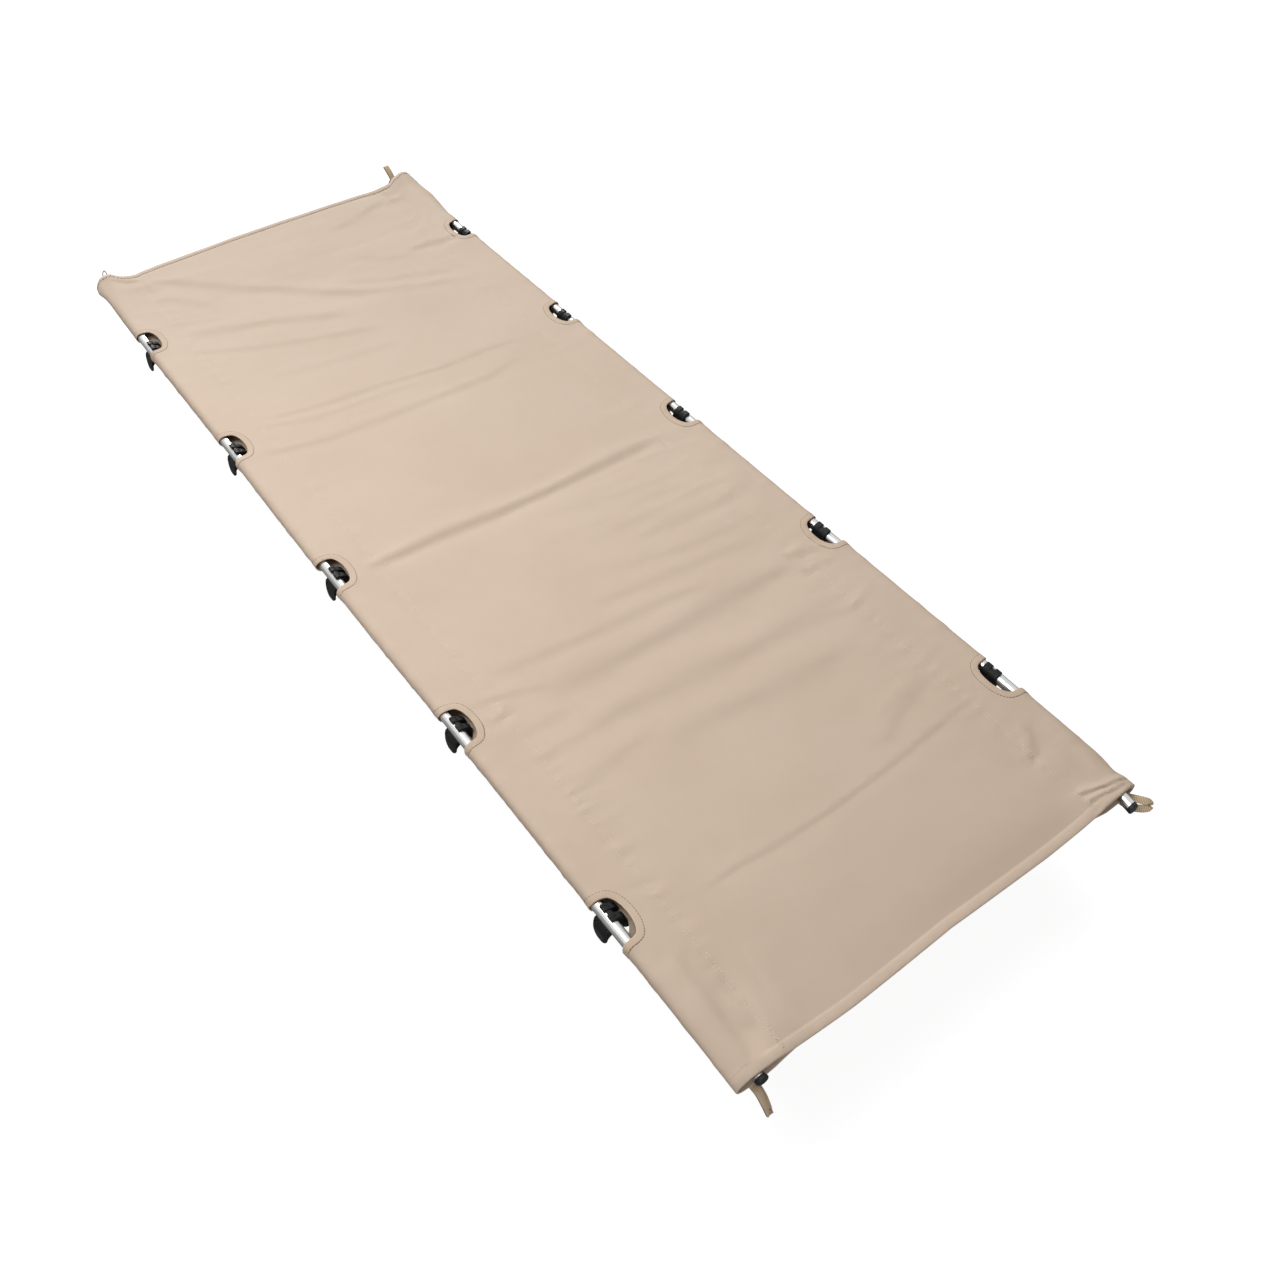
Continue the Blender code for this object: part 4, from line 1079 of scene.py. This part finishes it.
# %% [markdown]
# ## Moulded pieces
# A moulding is drawn as sections and turned profiles. The section plane lies across the pole, with the pole's
# axis in the middle. A slab is a section given a thickness along the pole, and a small bevel on its rims
# takes off the sharp edges, as a mould would. Slabs and turned bars, side by side, then make one piece. `PIN`
# is the place of a lever's pin in that plane.

# %% Slabs and turned bars
def polar(radius, degrees, centre=(0.0, 0.0)):
    """A point round the pole: 0 degrees is straight inwards and 90 is up."""
    turn = math.radians(degrees)
    return (centre[0] + radius * math.cos(turn), centre[1] + radius * math.sin(turn))


def arc(radius, first, last, steps, centre=(0.0, 0.0)):
    return [polar(radius, first + (last - first) * i / steps, centre) for i in range(steps + 1)]


def join(work, piece):
    carrier = bpy.data.meshes.new("carrier")
    bmesh.ops.recalc_face_normals(piece, faces=piece.faces)
    piece.to_mesh(carrier)
    piece.free()
    work.from_mesh(carrier)
    bpy.data.meshes.remove(carrier)


def add_slab(work, outline, low, high, soften, flip=1.0):
    """Extrudes an outline of the section plane between two places along the pole and bevels its rims."""
    low, high = sorted((low, high))
    piece = bmesh.new()
    face = piece.faces.new([piece.verts.new((x * flip, low, z)) for x, z in outline])
    made = bmesh.ops.extrude_face_region(piece, geom=[face])
    top = [v for v in made["geom"] if isinstance(v, bmesh.types.BMVert)]
    bmesh.ops.translate(piece, verts=top, vec=(0.0, high - low, 0.0))
    bmesh.ops.recalc_face_normals(piece, faces=piece.faces)
    if soften:
        rims = [e for e in piece.edges if abs(e.verts[0].co.y - e.verts[1].co.y) < 1e-7]
        bmesh.ops.bevel(piece, geom=rims, offset=soften, segments=1, profile=0.5, affect="EDGES",
                        clamp_overlap=True)
    bmesh.ops.triangulate(piece, faces=[f for f in piece.faces if len(f.verts) > 4])
    join(work, piece)


def add_turned(work, profile, direction, sides):
    """Turns a profile of (radius, distance) points about a line through the pole's axis or the pin."""
    piece = bmesh.new()
    tilt = Vector(direction).to_track_quat("Z", "Y").to_matrix()
    turns = [2 * math.pi * k / sides for k in range(sides)]
    rings = []
    for radius, distance in profile:
        around = turns if radius > 1e-6 else [0.0]
        rings.append([piece.verts.new(tilt @ Vector((radius * math.cos(a), radius * math.sin(a), distance)))
                      for a in around])
    for one, two in zip(rings, rings[1:]):
        for k in range(sides):
            j = (k + 1) % sides
            corners = [one[k % len(one)], one[j % len(one)], two[j % len(two)], two[k % len(two)]]
            kept = [v for i, v in enumerate(corners) if v not in corners[:i]]
            if len(kept) > 2:
                piece.faces.new(kept)
    join(work, piece)


def moulded_piece(name, work, place, finish, node, body):
    mesh = bpy.data.meshes.new(name)
    bmesh.ops.translate(work, verts=work.verts, vec=place)
    work.to_mesh(mesh)
    work.free()
    mesh.materials.append(finish.material)
    mesh.polygons.foreach_set("use_smooth", [True] * len(mesh.polygons))
    mesh.set_sharp_from_angle(angle=math.radians(38))
    return placed(name, mesh, body, node)


LEG_ROWS = [(k - 2) * 0.3445 for k in range(5)]
PIN = (-0.0049987, -0.0124974)
print("legs at", [round(y, 4) for y in LEG_ROWS])

# %% [markdown]
# ## Clips
# A clip is one black moulding: a ring that snaps over the pole with two fingers, a thinner web between them
# and a socket for the leg's arm. The left ones also have two ears for the lever's pin and a saddle over the
# socket.

# %% Clips
SEAT = 0.00835
JAW = 0.01155
CLIP_HALF = 0.01275
SLOT_HALF = 0.00275
ARM_SLOPE = math.atan2(0.114, 0.094)
SHOULDER = 0.0135
NECK = 0.0090
EAR = 0.0042
SOCKET = 0.0084
SOCKET_PROFILE = [(0.0, 0.0100), (SOCKET, 0.0100), (SOCKET, 0.0285), (SOCKET - 0.0006, 0.0290),
                  (SOCKET - 0.0006, 0.0305), (SOCKET, 0.0310), (SOCKET, 0.0412), (SOCKET - 0.0006, 0.0420),
                  (0.0069, 0.0420), (0.0063, 0.0414), (0.0063, 0.0270), (0.0, 0.0270)]


def on_arm(distance, offset=0.0):
    """A point along the arm of the leg, seen along the pole."""
    cos, sin = math.cos(ARM_SLOPE), math.sin(ARM_SLOPE)
    return (cos * distance + sin * offset, -sin * distance + cos * offset)


def jaw_section(tip, outer, with_ear=False):
    """Ring section from the fingertip over the pole, down to the shoulder and back up inside."""
    points = [polar(outer - 0.0013, tip), polar(outer - 0.0004, tip - 4.0)] + arc(outer, tip - 10.0, 16.0, 10)
    points += [on_arm(SHOULDER - 0.0030, NECK - 0.0002), on_arm(SHOULDER, NECK - 0.0008),
               on_arm(SHOULDER, -NECK)]
    if with_ear:
        reach = PIN[0] * math.cos(ARM_SLOPE) - PIN[1] * math.sin(ARM_SLOPE)
        points += [on_arm(reach + EAR, -NECK)] + arc(EAR, -math.degrees(ARM_SLOPE), -230.0, 9, PIN)
        return points + arc(SEAT, -112.0, tip, 14)
    return points + [polar(outer, -84.0)] + arc(SEAT, -84.0, tip, 14)


SADDLE = [polar(JAW - 0.0015, 66.0), (0.0090, 0.0085), (0.0130, 0.0062), (0.0168, 0.0026), (0.0188, -0.0016),
          (0.0190, -0.0062), on_arm(0.0195, 0.0078), on_arm(0.0100, 0.0070), polar(JAW - 0.0015, 16.0)]


def clip_shape(left, tip):
    """One clip about the pole's axis; a left one has ears and a saddle."""
    work = bmesh.new()
    flip = 1.0 if left else -1.0
    inner = CLIP_HALF - 0.0037 if left else CLIP_HALF
    for hand in (-1, 1):
        add_slab(work, jaw_section(tip, JAW), hand * SLOT_HALF, hand * inner, 0.0006, flip)
        if left:
            add_slab(work, jaw_section(tip, JAW, True), hand * inner, hand * CLIP_HALF, 0.0005, flip)
            add_slab(work, SADDLE, hand * (SLOT_HALF + 0.0002), hand * (CLIP_HALF - 0.0006), 0.0008, flip)
    web = jaw_section(tip - (15.0 if left else 17.0), JAW - 0.0013)
    add_slab(work, web, -SLOT_HALF - 0.0004, SLOT_HALF + 0.0004, 0.0, flip)
    for y in (-0.0062, 0.0062):
        finger_rib = arc(JAW + 0.0005, 64.0, 2.0, 7) + arc(JAW - 0.0008, 2.0, 64.0, 7)
        add_slab(work, finger_rib, y - 0.0006, y + 0.0006, 0.0002, flip)
    run = on_arm(1.0)
    add_turned(work, SOCKET_PROFILE, (run[0] * flip, 0.0, run[1]), 20)
    return work


clips = []
for k, y in enumerate(LEG_ROWS):
    for side, word, tip in ((-1, "left", 104.0), (1, "right", 112.0)):
        clips.append(moulded_piece(f"moulded_clip_{word}_{k + 1}", clip_shape(side < 0, tip),
                                   (side * POLE_X, y, POLE_HEIGHT), black_finish, f"clip_{word}_{k + 1}",
                                   FRAME_BODY))
print("clips:", len(clips), "faces on a left one:", len(clips[0].data.polygons))

# %% [markdown]
# ## Levers
# A lever locks a left clip to its pole. A cam turns between the two ears, and a broad thumb tongue hangs from
# it, outside the pole. The tongue is a rounded plate with three raised ribs for the thumb. It is given in
# millimetres as rows of place, half width and half thickness, and each row becomes a ring of points. Each
# lever rides its own body, so it swings in the poses.

# %% Levers
TONGUE = [(-4.0, -3.0, 13.9, 0.8), (-4.8, -4.5, 14.2, 1.1), (-5.0, -8.0, 14.4, 1.3),
          (-5.2, -11.5, 14.3, 1.4), (-5.5, -15.0, 13.7, 1.4), (-5.9, -18.2, 12.2, 1.3),
          (-6.3, -20.8, 9.8, 1.2), (-6.6, -22.8, 6.6, 1.0), (-6.8, -24.1, 2.5, 0.6)]
TONGUE_RING = [(-1.0, 0.0), (-0.96, 0.75), (-0.80, 1.0), (0.0, 1.25), (0.80, 1.0), (0.96, 0.75), (1.0, 0.0),
               (0.96, -0.75), (0.80, -1.0), (0.0, -0.85), (-0.80, -1.0), (-0.96, -0.75)]
TOWARDS_POLE = 68.2


def lever_shape():
    """One lever about its pin: a cam, two pin ends, a neck between two cheeks and a tongue."""
    work = bmesh.new()
    cam = arc(0.00511, TOWARDS_POLE - 34.0, TOWARDS_POLE + 13.6, 6)
    cam += arc(0.0039, TOWARDS_POLE + 34.0, TOWARDS_POLE + 286.0, 12)
    add_slab(work, cam, -0.0087, 0.0087, 0.0005)
    for hand in (-1, 1):
        add_turned(work, [(0.0, 0.0), (0.00145, 0.0), (0.00145, 0.0121), (0.0, 0.0121)], (0.0, hand, 0.0), 10)
    neck = [(-0.0050, -0.0085), (-0.0052, -0.0036), (-0.0036, -0.0010), (0.0, 0.0), (0.0020, -0.0030),
            (-0.0012, -0.0062)]
    add_slab(work, neck, -0.0085, 0.0085, 0.0005)
    cheek = arc(0.0046, -50.0, 180.0, 9)
    cheek += [(-0.0056, -0.0040), (-0.0060, -0.0105), (-0.0050, -0.0115), (-0.0022, -0.0072)]
    for hand in (-1, 1):
        add_slab(work, cheek, hand * 0.0130, hand * 0.0143, 0.0004)
    tongue = bmesh.new()
    verts = [tongue.verts.new(Vector((x + thick * b, wide * a, z)) / 1000)
             for x, z, wide, thick in TONGUE for a, b in TONGUE_RING]
    count = len(TONGUE_RING)
    for face in wrap_faces(len(TONGUE), count) + [range(count), range(len(verts) - count, len(verts))]:
        tongue.faces.new([verts[i] for i in face])
    join(work, tongue)
    for z, reach, x in ((-0.0125, 0.0085, -0.0067), (-0.0155, 0.0076, -0.0069), (-0.0185, 0.0060, -0.0072)):
        thumb_rib = [(x - 0.0006, z - 0.0004), (x - 0.0006, z + 0.0004), (x + 0.0004, z + 0.0007),
                     (x + 0.0004, z - 0.0007)]
        add_slab(work, thumb_rib, -reach, reach, 0.0002)
    return work


levers = []
for k, y in enumerate(LEG_ROWS):
    pin_place = (-POLE_X + PIN[0], y, POLE_HEIGHT + PIN[1])
    levers.append(moulded_piece(f"moulded_lever_{k + 1}", lever_shape(), pin_place, lever_finish,
                                f"lever_{k + 1}", f"lever_body_{k + 1}"))
print("levers:", len(levers), "faces each:", len(levers[0].data.polygons))

# %% [markdown]
# ## Last step
# The size the cloth was cut to and its area without the ten windows are printed, and so is the number of
# triangles in the shown meshes.

# %% Cut size and triangles
flat_width = 2 * LOWER_S
flat_length = END[1] - END[-1] + HEM[-1] + HEM[1] + 2 * math.pi * HEM_ROLL
window_area = abs(0.5 * sum(a[0] * b[1] - b[0] * a[1] for a, b in zip(outline, outline[1:] + outline[:1])))
cut_area = flat_width * flat_length - 10 * window_area
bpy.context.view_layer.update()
print("cloth cut:", round(flat_width, 4), round(flat_length, 4), round(cut_area, 4))
graph = bpy.context.evaluated_depsgraph_get()
total = {}
for obj in bpy.context.scene.objects:
    if obj.type == "MESH" and not obj.hide_render:
        total[obj.name] = sum(len(p.vertices) - 2 for p in obj.evaluated_get(graph).data.polygons)
print("triangles:", sum(total.values()), "cloth:", total["cloth_sheet"])
print("clip:", total["moulded_clip_left_1"], "lever:", total["moulded_lever_1"])
